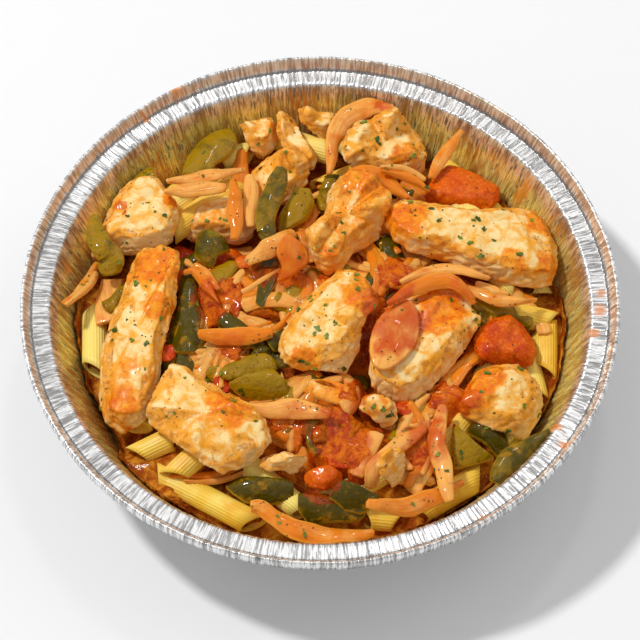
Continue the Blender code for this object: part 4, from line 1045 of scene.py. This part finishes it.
def rule(name, inputs):
    """A geometry node tree with named inputs, and the values of its input sockets."""
    tree = bpy.data.node_groups.new(name, "GeometryNodeTree")
    tree.interface.new_socket("Geometry", in_out="INPUT", socket_type="NodeSocketGeometry")
    for label, kind in inputs:
        tree.interface.new_socket(label, in_out="INPUT", socket_type=kind)
    tree.interface.new_socket("Geometry", in_out="OUTPUT", socket_type="NodeSocketGeometry")
    given = tree.nodes.new("NodeGroupInput")
    sockets = {label: Value(tree, given.outputs[label]) for label in
               ["Geometry"] + [label for label, _ in inputs]}
    return tree, sockets


def end_rule(tree, geometry, material):
    """Ends a tree in Realize Instances and Set Material."""
    real = node(tree, "GeometryNodeRealizeInstances", None, [geometry])
    dressed = node(tree, "GeometryNodeSetMaterial", None, {0: real, "Material": material})
    result = tree.nodes.new("NodeGroupOutput")
    tree.links.new(dressed.socket, result.inputs[0])


def follow_rule(thing, tree, values, name):
    """Runs a tree on an object and keeps the result as a plain mesh."""
    modifier = thing.modifiers.new("rule", "NODES")
    modifier.node_group = tree
    for item in tree.interface.items_tree:
        if item.in_out == "INPUT" and item.name in values:
            modifier[item.identifier] = values[item.name]
    graph = bpy.context.evaluated_depsgraph_get()
    graph.update()
    mesh = bpy.data.meshes.new_from_object(thing.evaluated_get(graph))
    thing.modifiers.remove(modifier)
    mesh.name = name
    return mesh


def named(tree, label, kind="FLOAT"):
    return node(tree, "GeometryNodeInputNamedAttribute", {"data_type": kind}, {"Name": label})


def penne_rule(form):
    """Tubes of ribbed pasta between the ends that each point carries."""
    tree, given = rule("ribbed_tubes", [
        ("Radius", "NodeSocketFloat"), ("Wall", "NodeSocketFloat"), ("Ribs", "NodeSocketFloat"),
        ("Rib height", "NodeSocketFloat"), ("Slant", "NodeSocketFloat"), ("Material", "NodeSocketMaterial")])
    source = node(tree, "GeometryNodeObjectInfo", None, {"Object": form, "As Instance": True}, out=4)
    tubes = node(tree, "GeometryNodeInstanceOnPoints", None, {0: given["Geometry"], "Instance": source})
    tubes = node(tree, "GeometryNodeRealizeInstances", None, [tubes])
    start, finish_at = (named(tree, label, "FLOAT_VECTOR") for label in ("start", "finish"))
    turn, along, layer, tone = (named(tree, label) for label in ("turn", "along", "layer", "tone"))
    span = vector_math("SUBTRACT", finish_at, start)
    length = vector_math("LENGTH", span, out=1)
    axis = vector_math("NORMALIZE", span)
    side = vector_math("NORMALIZE", vector_math("CROSS_PRODUCT", axis, (0.0, 0.0, 1.0)))
    up = vector_math("CROSS_PRODUCT", side, axis)
    ridge = (turn * given["Ribs"]).sin() * 0.5 + 0.5
    radius = given["Radius"] - given["Wall"] * (1.0 - layer) + given["Rib height"] * (ridge - 1.0) * layer
    radius = radius * (1.0 + (turn * 2.0 + tone * 9.0).sin() * 0.035)
    wide = turn.cos() * radius
    tall = turn.sin() * radius
    ahead = along * length + given["Slant"] * wide * (1.0 - along * 2.0)
    sag = along * (1.0 - along) * (tone - 0.3) * length * 0.16
    place = vector_math("ADD", start, scaled(axis, ahead))
    place = vector_math("ADD", place, scaled(side, wide))
    place = vector_math("ADD", place, scaled(up, tall + sag))
    moved = node(tree, "GeometryNodeSetPosition", None, {"Geometry": tubes, "Position": place})
    end_rule(tree, moved, given["Material"])
    return tree


def points_object(name, spots, marks):
    """A mesh of loose points with what each one carries."""
    mesh = mesh_of(name, [tuple(p) for p in spots], [])
    for label, kind, values in marks:
        layer = mesh.attributes.new(label, kind, "POINT")
        layer.data.foreach_set("value" if kind == "FLOAT" else "vector", np.asarray(values, float).ravel())
    return link(bpy.data.objects.new(name, mesh))


def make_penne(ends, material):
    form = tube_form(PENNE_RIBS, 4, 9)
    tree = penne_rule(form)
    rng = np.random.default_rng(PENNE_SEED)
    starts = np.array([a for a, _ in ends]) * MM
    finishes = np.array([b for _, b in ends]) * MM
    tones = rng.uniform(0, 1, len(ends))
    holder = points_object("penne_places", starts, [
        ("start", "FLOAT_VECTOR", starts), ("finish", "FLOAT_VECTOR", finishes), ("tone", "FLOAT", tones)])
    mesh = follow_rule(holder, tree, {
        "Radius": PENNE_RADIUS * MM, "Wall": PENNE_WALL * MM, "Ribs": float(PENNE_RIBS),
        "Rib height": PENNE_RIB_HEIGHT * MM, "Slant": PENNE_SLANT, "Material": material}, "penne_ribbed")
    mesh.shade_smooth()
    bpy.data.objects.remove(holder, do_unlink=True)
    piece = link(bpy.data.objects.new("penne_ribbed", mesh))
    return own(piece, ["pasta_bed"])


# ---- Tray ----

def tray_profile():
    """Radius and height down the inside, out over the ledge, round the rim and back under."""
    top = (LEDGE_INNER - 1.2, LEDGE_HEIGHT - 1.2)
    inner = [(30, FOIL), (60, FOIL), (78, FOIL), (84, FOIL), (FOOT_RADIUS - 1.6, FOIL + 1.2),
             (FOOT_RADIUS, WALL_FOOT)]
    for k in range(1, 11):
        inner.append((FOOT_RADIUS + (top[0] - FOOT_RADIUS) * k / 11,
                      WALL_FOOT + (top[1] - WALL_FOOT) * k / 11))
    inner += [top, (LEDGE_INNER - 0.35, LEDGE_HEIGHT - 0.35), (LEDGE_INNER + 0.4, LEDGE_HEIGHT)]
    for k in range(1, 5):
        inner.append((LEDGE_INNER + 0.4 + (LEDGE_OUTER - LEDGE_INNER - 0.8) * k / 5, LEDGE_HEIGHT))
    inner += [(LEDGE_OUTER - 0.4, LEDGE_HEIGHT), (LEDGE_OUTER, LEDGE_HEIGHT + 0.15),
              (LEDGE_OUTER + 0.5, LEDGE_HEIGHT + 0.9), (LEDGE_OUTER + 1.3, LEDGE_HEIGHT + 2.5),
              (RIM_RADIUS - 2.0, RIM_HEIGHT - 1.1), (RIM_RADIUS - 1.4, RIM_HEIGHT - 0.3),
              (RIM_RADIUS - 0.9, RIM_HEIGHT)]
    outer = [(RIM_RADIUS - 0.3, RIM_HEIGHT - 0.25), (RIM_RADIUS, RIM_HEIGHT - 1.0),
             (RIM_RADIUS + 0.1, RIM_HEIGHT - 2.6), (RIM_RADIUS - 0.2, RIM_HEIGHT - 4.6),
             (RIM_RADIUS - 0.8, RIM_HEIGHT - 4.9), (RIM_RADIUS - 1.2, RIM_HEIGHT - 4.4),
             (RIM_RADIUS - 1.3, RIM_HEIGHT - 2.2), (LEDGE_OUTER + 1.7, LEDGE_HEIGHT + 1.9),
             (LEDGE_OUTER + 0.5, LEDGE_HEIGHT - 0.3), (LEDGE_OUTER - 0.5, LEDGE_HEIGHT - FOIL),
             (LEDGE_INNER + 0.4, LEDGE_HEIGHT - FOIL - 0.2), (LEDGE_INNER - 0.4, LEDGE_HEIGHT - 1.6)]
    for k in range(5, -1, -1):
        outer.append((FOOT_RADIUS + FOIL + (top[0] - FOOT_RADIUS) * k / 6,
                      WALL_FOOT + (top[1] - WALL_FOOT) * k / 6))
    outer += [(FOOT_RADIUS - 1.2, 0.9), (84, 0.0), (60, 0.0)]
    return inner + outer, len(inner)


def make_tray(material):
    """The foil tray: a turned sheet with crimps over the ledge that run down the wall."""
    profile, inner_rows = tray_profile()
    turns = CRIMPS * CRIMP_STEPS
    angle = np.arange(turns) * 2 * math.pi / turns
    rows = []
    marks = {"turn": [], "ledge": [], "wall": [], "lip": [], "inside": []}
    for k, (r, z) in enumerate(profile):
        rows.append(np.column_stack([r * np.cos(angle), r * np.sin(angle), np.full(turns, z)]))
        shares = {
            "ledge": smooth_step(r, LEDGE_INNER - 1.5, LEDGE_INNER + 0.8)
            * (1 - smooth_step(r, LEDGE_OUTER - 0.6, LEDGE_OUTER + 0.2)),
            "wall": smooth_step(z, WALL_FOOT, 16.0)
            * (1 - smooth_step(r, LEDGE_INNER - 1.0, LEDGE_INNER + 0.5)),
            "lip": smooth_step(r, LEDGE_OUTER, LEDGE_OUTER + 1.0),
            "inside": float(k < inner_rows)}
        for label, share in shares.items():
            marks[label].append(np.full(turns, float(share)))
        marks["turn"].append(angle)
    verts = np.concatenate(rows + [[[0, 0, FOIL]], [[0, 0, 0]]])
    faces = ring_faces(len(profile), turns)
    last = (len(profile) - 1) * turns
    faces += [((i + 1) % turns, len(verts) - 2, i) for i in range(turns)]
    faces += [(len(verts) - 1, last + (i + 1) % turns, last + i) for i in range(turns)]
    mesh = mesh_of("tray_sheet", (verts * MM).tolist(), faces)
    set_marks(mesh, {label: np.concatenate(values + [[0.0, 0.0]]) for label, values in marks.items()})
    sheet = link(bpy.data.objects.new("tray_sheet", mesh))
    tree, given = rule("crimps", [
        ("Crimps", "NodeSocketFloat"), ("Ledge depth", "NodeSocketFloat"), ("Wall depth", "NodeSocketFloat"),
        ("Lip depth", "NodeSocketFloat"), ("Dents", "NodeSocketFloat"), ("Material", "NodeSocketMaterial")])
    turn = named(tree, "turn")
    ring = joined(tree, turn.cos(), turn.sin(), 0.0)
    loose = node(tree, "ShaderNodeTexNoise", None, {"Vector": ring, "Scale": 16.0, "Detail": 2.0})
    quick = node(tree, "ShaderNodeTexNoise", None, {"Vector": ring, "Scale": 70.0, "Detail": 3.0})
    slow = node(tree, "ShaderNodeTexNoise", None, {"Vector": ring, "Scale": 4.0, "Detail": 2.0})
    wave = (turn * given["Crimps"] + loose * 30.0).sin()
    broad = (turn * given["Crimps"] * 0.5 + loose * 19.0).sin()
    crimp = wave * (0.2 + quick * 1.2) + (quick - 0.5) * 2.4
    pleat = broad * (0.3 + quick) + wave * 0.35 + (quick - 0.5) * 1.6
    up = named(tree, "ledge") * given["Ledge depth"] * crimp
    lip = named(tree, "lip")
    out = named(tree, "wall") * given["Wall depth"] * pleat + lip * given["Lip depth"] * pleat
    out = out + (slow - 0.5) * given["Dents"] * (lip + named(tree, "ledge"))
    moved = vector_math("ADD", scaled(ring, out), joined(tree, 0.0, 0.0, up))
    shaped = node(tree, "GeometryNodeSetPosition", None, {"Geometry": given["Geometry"], "Offset": moved})
    end_rule(tree, shaped, given["Material"])
    made = follow_rule(sheet, tree, {
        "Crimps": float(CRIMPS), "Ledge depth": 0.3 * MM, "Wall depth": 0.16 * MM, "Lip depth": 0.14 * MM,
        "Dents": 1.4 * MM, "Material": material}, "tray_foil")
    made.shade_smooth()
    bpy.data.objects.remove(sheet, do_unlink=True)
    piece = link(bpy.data.objects.new("tray_foil", made))
    return own(piece, ["tray"])


# ---- The stew between the large pieces ----

# Low pieces that show in the gaps: food, rise over the heap's surface, thickness, outline in plan
LOW_CHUNKS = [
    ("pepper", -5.0, 3.5, [(-54, -20), (-46, -17), (-39, -18), (-32, -22), (-38, -30), (-46, -31),
                           (-55, -27)]),
    ("pepper", -6.0, 3.5, [(61, -7), (60, 0), (65, 5), (72, 4), (75, 0), (72, -4), (66, -6)]),
    ("pepper", -4.0, 3.5, [(-33, 18), (-29, 22), (-24, 22), (-26, 13), (-25, 1), (-29, 2), (-29, 12)]),
    ("pepper", -2.5, 3.5, [(-23, 23), (-16, 24), (-16, 16), (-20, 6), (-22, 1), (-25, 3), (-24, 14)]),
    ("tomato", -3.5, 5.0, [(-42, 19), (-36, 18), (-31, 9), (-32, 3), (-37, 6), (-42, 13)]),
    ("onion", -5.5, 2.5, [(-85, 14), (-77, 14), (-77, 4), (-80, -5), (-86, -7), (-87, 2)]),
    ("tomato", -3.0, 5.0, [(2, -62), (8, -57), (16, -60), (17, -66), (10, -70), (3, -69)]),
    ("pepper", -2.5, 3.5, [(-6, -50), (0, -48), (3, -55), (2, -62), (-2, -64), (-5, -58)]),
    ("chicken", -2.5, 8.0, [(-9, -35), (-4, -31), (3, -31), (11, -35), (11, -43), (4, -41), (-3, -38)]),
]
# Low slices of onion: rise over the heap's surface, width, path in plan
LOW_SLIVERS = [
    (-4.5, 8.0, [(41, -60), (39, -70), (34, -79)]),
    (-2.2, 7.0, [(21, -54), (18, -63), (13, -73)]),
    (-5.0, 6.5, [(63, -18), (54, -27), (46, -38), (41, -49)]),
]


class Pile:
    """The height of what lies in the tray, over a grid in plan."""

    STEP = 0.8
    REACH = 96

    def __init__(self, solids, empty):
        verts = []
        faces = []
        for spots, shapes in solids:
            faces += [tuple(i + len(verts) for i in shape) for shape in shapes]
            verts += [tuple(v) for v in spots]
        tree = BVHTree.FromPolygons(verts, faces)
        count = int(2 * self.REACH / self.STEP) + 1
        self.heights = np.full((count, count), empty)
        for i in range(count):
            for j in range(count):
                hit = tree.ray_cast(Vector((i * self.STEP - self.REACH, j * self.STEP - self.REACH, 90.0)),
                                    Vector((0, 0, -1)))
                if hit[0] is not None:
                    self.heights[i, j] = hit[0].z

    def cell(self, x, y):
        last = len(self.heights) - 1
        return tuple(np.clip(np.round((np.asarray(c) + self.REACH) / self.STEP).astype(int), 0, last)
                     for c in (x, y))

    def top(self, x, y):
        return self.heights[self.cell(x, y)]

    def add(self, verts):
        for dx in (-0.8, 0.0, 0.8):
            for dy in (-0.8, 0.0, 0.8):
                np.maximum.at(self.heights, self.cell(verts[:, 0] + dx, verts[:, 1] + dy), verts[:, 2])


def wander(rng, x, y, length, bend):
    """A curved path in plan, through its middle."""
    steps = 7
    heading = rng.uniform(0, 2 * math.pi)
    turns = heading + rng.uniform(-bend, bend) * np.arange(steps) + np.cumsum(rng.normal(0, 0.06, steps))
    path = np.cumsum(np.column_stack([np.cos(turns), np.sin(turns)]), axis=0) * length / steps
    return path - path.mean(axis=0) + np.array([x, y])


def lay_strand(pile, cover, path, half, thick):
    """Middle line, half widths and lean of a strand that rests on the pile, or None without room.

    It may run in under a large piece, but not over one.
    """
    if np.hypot(path[:, 0], path[:, 1]).max() > 90:
        return None
    ahead = np.gradient(path, axis=0)
    ahead /= np.linalg.norm(ahead, axis=1, keepdims=True)
    side = np.column_stack([ahead[:, 1], -ahead[:, 0]]) * half * 0.8
    under = [pile.top(*(path + side * k).T) for k in (-1, -0.5, 0, 0.5, 1)]
    level = np.maximum(under[2], (np.maximum(under[0], under[1]) + np.maximum(under[3], under[4])) / 2)
    heights = level + thick * 0.45
    for _ in range(8):
        heights[1:-1] = np.maximum(heights[1:-1] - 0.2, (heights[:-2] + heights[2:]) / 2 - 0.3)
    tops = heights + thick * 0.5 + 0.6
    if (tops > np.array([heap_surface(x, y) for x, y in path]) - 1.5).any() or np.ptp(heights) > 9:
        return None
    for k in (-1, 0, 1):
        above = cover.top(*(path + side * k).T)
        if ((above > 0) & (above < tops)).any():
            return None
    if (cover.top(*path.T) > 0).mean() > 0.7:
        return None
    lean = np.clip((under[4] - under[0]) / (2 * half), -0.7, 0.7)
    lean = np.convolve(np.pad(lean, 1, "edge"), [0.25, 0.5, 0.25], "valid")
    return np.column_stack([path, heights]), np.full(len(path), half), lean


def blob(rng, x, y, z, wide, tall, seed):
    """A soft lump of stewed tomato."""
    rings, around = 11, 18
    turn = rng.uniform(0, math.pi)
    long = rng.uniform(0.75, 1.35)
    phi = np.repeat(np.arange(1, rings) * math.pi / rings, around)
    theta = np.tile(np.arange(around) * 2 * math.pi / around, rings - 1)
    u = np.cos(theta) * np.sin(phi) * long
    v = np.sin(theta) * np.sin(phi) / long
    spots = np.column_stack([u * math.cos(turn) - v * math.sin(turn), u * math.sin(turn) + v * math.cos(turn),
                             np.cos(phi)])
    spots = np.concatenate([spots, [[0, 0, 1], [0, 0, -1]]])
    swell = 1.0 + 0.4 * ripple(spots, 0.7, seed * 3.1) + 0.15 * ripple(spots, 0.3, seed * 1.7)
    spots = spots * swell[:, None] * np.array([wide, wide, tall]) + np.array([x, y, z])
    return spots, capped_rings(rings - 1, around)


def low_pieces(pile, parts):
    """The low pieces that the photo shows in the gaps."""
    rng = np.random.default_rng(LOW_SEED)
    for number, (food, rise, thick, outline) in enumerate(LOW_CHUNKS):
        top = []
        for x, y in outline:
            z = heap_surface(x, y) + rise
            top.append((*along_sight(x, y, z), z))
        verts = top + [(x, y, z - thick) for x, y, z in top]
        part = dress_chunk(np.array(verts), prism_faces(len(top)), food, 80 + number)
        parts[food].append(part)
        pile.add(part[0])
    for number, (rise, width, path) in enumerate(LOW_SLIVERS):
        mids = []
        for x, y in curve_rows(path, 8):
            z = heap_surface(x, y) + rise
            mids.append((*along_sight(x, y, z), z))
        found = onion_slivers(np.array(mids), np.full(8, width / 2), rng, 900 + number)
        parts["onion"] += found
        for part in found:
            pile.add(part[0])


def fill_stew(pile, cover, finishes):
    """Slices of onion, strips of pepper and lumps of tomato over the bed."""
    rng = np.random.default_rng(STEW_SEED)
    parts = {"onion": [], "pepper": [], "tomato": [], "chicken": []}
    low_pieces(pile, parts)
    for number in range(STEW_TRIES):
        radius = STEW_REACH * math.sqrt(rng.uniform())
        turn = rng.uniform(0, 2 * math.pi)
        x, y = radius * math.cos(turn), radius * math.sin(turn)
        food = rng.choice(["onion", "pepper", "tomato"], p=[0.56, 0.4, 0.04])
        if radius > 66 and rng.uniform() < 0.7:
            continue
        if food == "tomato":
            wide = rng.uniform(2.5, 5.0)
            z = float(pile.top(x, y)) + wide * 0.1
            above = float(cover.top(x, y))
            if z + wide * 0.5 > heap_surface(x, y) - 2.5 or 0 < above < z + wide:
                continue
            spots, faces = blob(rng, x, y, z, wide, wide * 0.36, number)
            found = [(spots, faces, {"tone": rng.uniform()})]
        else:
            half, length, bend = ((rng.uniform(2.2, 3.8), rng.uniform(22, 44), 0.26) if food == "onion" else
                                  (rng.uniform(3.0, 4.8), rng.uniform(16, 30), 0.14))
            laid = lay_strand(pile, cover, wander(rng, x, y, length, bend), half, STRIP_LOOK[food][0])
            if laid is None:
                continue
            mids, halves, lean = laid
            if food == "onion":
                found = onion_slivers(mids, halves, rng, number, lean, 1.2, 16)
            else:
                spots, faces, marks = sweep_strip(food, mids, halves, number,
                                                  rng.uniform(0.7, 1.0, 2), 1.2, 16, lean)
                found = [(spots, faces, dict(marks, tone=rng.uniform()))]
        parts[food] += found
        for part in found:
            pile.add(part[0])
    pour_sauce(pile, finishes["sauce"])
    for food, found in parts.items():
        verts, faces, marks = join(found)
        make_piece("stew_" + food, verts, faces, finishes[food], marks=marks)


def evened(field, reach, rounds):
    """A field averaged with its neighbours, along both axes."""
    window = np.ones(2 * reach + 1) / (2 * reach + 1)
    for _ in range(rounds):
        for axis in (0, 1):
            field = np.apply_along_axis(lambda row: np.convolve(np.pad(row, reach, "edge"), window, "valid"),
                                        axis, field)
    return field


def pour_sauce(pile, material):
    """Thick red sauce that lies in the low places between the pieces."""
    ticks = np.arange(len(pile.heights)) * pile.STEP - pile.REACH
    x, y = (grid.ravel() for grid in np.meshgrid(ticks, ticks, indexing="ij"))
    flat = np.column_stack([x, y, np.zeros(len(x))])
    amount = pooled(flat, SAUCE_POOLS, POOL_RAGGED)
    level = evened(pile.heights, 2, 3).ravel() + 0.5 * ripple(flat, 4.0, 3.0) + 0.25 * ripple(flat, 1.8, 9.0)
    level += amount - 0.7 - 3.0 * (1.0 - smooth_step(amount, SAUCE_LEAST, 0.4))
    wet = ((amount > SAUCE_LEAST) & (np.hypot(x, y) < SAUCE_REACH)).reshape(pile.heights.shape)
    cells = wet[:-1, :-1] & wet[1:, :-1] & wet[:-1, 1:] & wet[1:, 1:]
    n = len(ticks)
    quads = []
    for i, j in zip(*np.nonzero(cells)):
        a = i * n + j
        quads.append((a, a + n, a + n + 1, a + 1))
    sides = {}
    for quad in quads:
        for a, b in zip(quad, quad[1:] + quad[:1]):
            if (b, a) in sides:
                del sides[(b, a)]
            else:
                sides[(a, b)] = True
    used = sorted({k for quad in quads for k in quad})
    order = {k: at for at, k in enumerate(used)}
    top = np.column_stack([flat[used, :2], level[used]])
    low = len(used)
    faces = [tuple(order[k] for k in quad) for quad in quads]
    faces += [tuple(order[k] + low for k in quad[::-1]) for quad in quads]
    faces += [(order[b], order[a], order[a] + low, order[b] + low) for a, b in sides]
    verts = np.concatenate([top, top - np.array([0.0, 0.0, SAUCE_DEPTH])])
    make_piece("sauce_poured", verts, faces, material)


# ---- Herbs and pepper grains ----

def leaf_form(name, corners, ragged, seed):
    """A thin crooked scrap of leaf or grain, about one unit long."""
    rng = np.random.default_rng(seed)
    rim = []
    for k in range(corners):
        turn = 2 * math.pi * k / corners
        reach = 0.5 * rng.uniform(1.0 - ragged, 1.0)
        rim.append((math.cos(turn) * reach, math.sin(turn) * reach * 0.7))
    curl = rng.uniform(0.2, 0.6)
    top = [(x, y, 0.09 + curl * x * x + rng.uniform(-0.03, 0.03)) for x, y in rim]
    low = [(x, y, z - 0.09) for x, y, z in top]
    verts = top + low + [(0, 0, 0.1), (0, 0, 0.0)]
    n = corners
    faces = [(k, (k + 1) % n, 2 * n) for k in range(n)]
    faces += [(n + (k + 1) % n, n + k, 2 * n + 1) for k in range(n)]
    faces += [(k, n + k, n + (k + 1) % n, (k + 1) % n) for k in range(n)]
    return bpy.data.objects.new(name, mesh_of(name, verts, faces))


def strewing_rule(forms):
    """Scraps strewn over a surface at a fixed seed."""
    tree, given = rule("strewing", [
        ("Density", "NodeSocketFloat"), ("Seed", "NodeSocketInt"), ("Smallest", "NodeSocketFloat"),
        ("Largest", "NodeSocketFloat"), ("Material", "NodeSocketMaterial")])
    scatter = tree.nodes.new("GeometryNodeDistributePointsOnFaces")
    tree.links.new(given["Geometry"].socket, scatter.inputs["Mesh"])
    spread = node(tree, "ShaderNodeTexNoise", None, {"Scale": 90.0, "Detail": 2.0})
    thick = given["Density"] * band(spread, 0.42, 0.62)
    tree.links.new(thick.socket, scatter.inputs["Density"])
    tree.links.new(given["Seed"].socket, scatter.inputs["Seed"])
    points = Value(tree, scatter.outputs["Points"])
    normal = Value(tree, scatter.outputs["Normal"])
    gather = tree.nodes.new("GeometryNodeJoinGeometry")
    for form in forms:
        info = node(tree, "GeometryNodeObjectInfo", None, {"Object": form, "As Instance": True}, out=4)
        tree.links.new(info.socket, gather.inputs[0])
    spin = node(tree, "FunctionNodeRandomValue", {"data_type": "FLOAT"},
                {2: 0.0, 3: 2 * math.pi, "Seed": given["Seed"]}, out=1)
    size = node(tree, "FunctionNodeRandomValue", {"data_type": "FLOAT"},
                {2: given["Smallest"], 3: given["Largest"], "Seed": 7}, out=1)
    lean = node(tree, "FunctionNodeAlignRotationToVector", {"axis": "Z"}, {"Vector": normal})
    turned = node(tree, "FunctionNodeRotateRotation", {"rotation_space": "LOCAL"},
                  {0: lean, 1: joined(tree, 0.0, 0.0, spin)})
    strewn = node(tree, "GeometryNodeInstanceOnPoints", None,
                  {"Points": points, "Instance": Value(tree, gather.outputs[0]), "Pick Instance": True,
                   "Rotation": turned, "Scale": size})
    end_rule(tree, strewn, given["Material"])
    return tree


def tops_of(pieces, least):
    """The faces of finished pieces that look up, as one loose surface."""
    verts = []
    faces = []
    base = 0
    for piece in pieces:
        spots, normals, shapes = arrays_of(piece.data)
        verts.append(spots + normals * 0.00005)
        for shape in shapes:
            if normals[shape[0], 2] > least:
                faces.append(tuple(i + base for i in shape))
        base += len(spots)
    return link(bpy.data.objects.new("tops", mesh_of("tops", np.concatenate(verts).tolist(), faces)))


def strew(name, pieces, forms, material, density, seed, sizes):
    tops = tops_of(pieces, 0.35)
    mesh = follow_rule(tops, strewing_rule(forms), {
        "Density": density, "Seed": seed, "Smallest": sizes[0] * MM, "Largest": sizes[1] * MM,
        "Material": material}, name)
    bpy.data.objects.remove(tops, do_unlink=True)
    piece = link(bpy.data.objects.new(name, mesh))
    return own(piece)


# ---- Stage ----

def soft_light(name, toward, distance, size, power):
    lamp = bpy.data.lights.new(name, "AREA")
    lamp.shape = "DISK"
    lamp.size = size
    lamp.energy = power
    light = link(bpy.data.objects.new(name, lamp))
    toward = Vector(toward).normalized()
    light.location = toward * distance
    light.rotation_euler = toward.to_track_quat("Z", "Y").to_euler()


def set_stage():
    scene = bpy.context.scene
    camera = bpy.data.objects.new("camera", bpy.data.cameras.new("camera"))
    camera.location = (0.0, -EYE_DISTANCE * math.cos(EYE_TILT) * MM,
                       (EYE_TARGET + EYE_DISTANCE * math.sin(EYE_TILT)) * MM)
    camera.rotation_euler = (math.pi / 2 - EYE_TILT, 0.0, 0.0)
    camera.data.lens = LENS
    camera.data.sensor_width = 36.0
    camera.data.shift_y = VIEW_SHIFT
    scene.camera = link(camera)

    reach = FLOOR_REACH
    mesh = mesh_of("floor", [(-reach, -reach, 0), (reach, -reach, 0), (reach, reach, 0), (-reach, reach, 0)],
                   [(0, 1, 2, 3)])
    material, _, _ = finish("floor", {"Base Color": (0.9, 0.9, 0.905, 1.0), "Roughness": 0.7})
    mesh.materials.append(material)
    link(bpy.data.objects.new("floor", mesh))

    world = bpy.data.worlds.new("studio")
    world.use_nodes = True
    backdrop = world.node_tree.nodes["Background"]
    backdrop.inputs["Color"].default_value = (1.0, 1.0, 1.0, 1.0)
    backdrop.inputs["Strength"].default_value = SKY
    scene.world = world

    for name, look in LIGHTS.items():
        soft_light(name, *look)
    scene.view_settings.view_transform = "Standard"


# ---- The meal ----

def main():
    set_stage()
    finishes = {"chicken": chicken_finish(), "pepper": pepper_finish(), "onion": onion_finish(),
                "tomato": tomato_finish(), "penne": penne_finish(), "foil": foil_finish(),
                "sauce": sauce_finish()}
    make_tray(finishes["foil"])
    pieces = {"chicken": [], "pepper": [], "onion": [], "tomato": []}
    solids = []
    for number, name in enumerate(sorted(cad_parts)):
        food = name.split("_")[0]
        if food not in pieces:
            continue
        solids.append(solid_of(name))
        if food == "chicken":
            cook = cook_chicken
        elif name in FLAT_CUTS:
            cook = cook_flat_cut
        elif food != "tomato":
            cook = cook_strip
        else:
            cook = cook_chunk
        pieces[food].append(cook(name, number, finishes[food]))
    verts, normals, faces = flesh_out(*solid_of("pasta_bed"), BED_VOXEL, 2)
    verts = verts - normals * BED_INSET
    outward = smooth_step(np.hypot(verts[:, 0], verts[:, 1]), BED_DROP_FROM, BED_DROP_FULL)
    verts[:, 2] -= BED_DROP * (outward * smooth_step(normals[:, 2], 0.2, 0.6))
    make_piece("bed_saucy", verts, faces, stew_finish(), ["pasta_bed"])
    pile = Pile([(verts, faces)], 2.0)
    tubes = [penne_ends(*row) for row in PENNE]
    tubes += rim_penne(tubes)
    make_penne(tubes, finishes["penne"])
    for one, other in tubes:
        pile.add(np.array([one.lerp(other, k / 60) + Vector((0, 0, PENNE_RADIUS)) for k in range(61)]))
    fill_stew(pile, Pile(solids, 0.0), finishes)
    leaves = [leaf_form("leaf_%d" % k, 9, 0.6, k) for k in range(5)]
    grains = [leaf_form("grain_%d" % k, 5, 0.3, 20 + k) for k in range(2)]
    food = pieces["chicken"] + pieces["onion"] + pieces["pepper"]
    strew("parsley_on_chicken", pieces["chicken"], leaves, herb_finish(), 24000.0, 3, (1.3, 3.8))
    strew("parsley_on_vegetables", pieces["onion"] + pieces["pepper"], leaves, herb_finish(),
          11000.0, 4, (1.1, 2.9))
    strew("ground_pepper", food + pieces["tomato"], grains, speck_finish(), 60000.0, 5, (0.4, 1.05))


main()
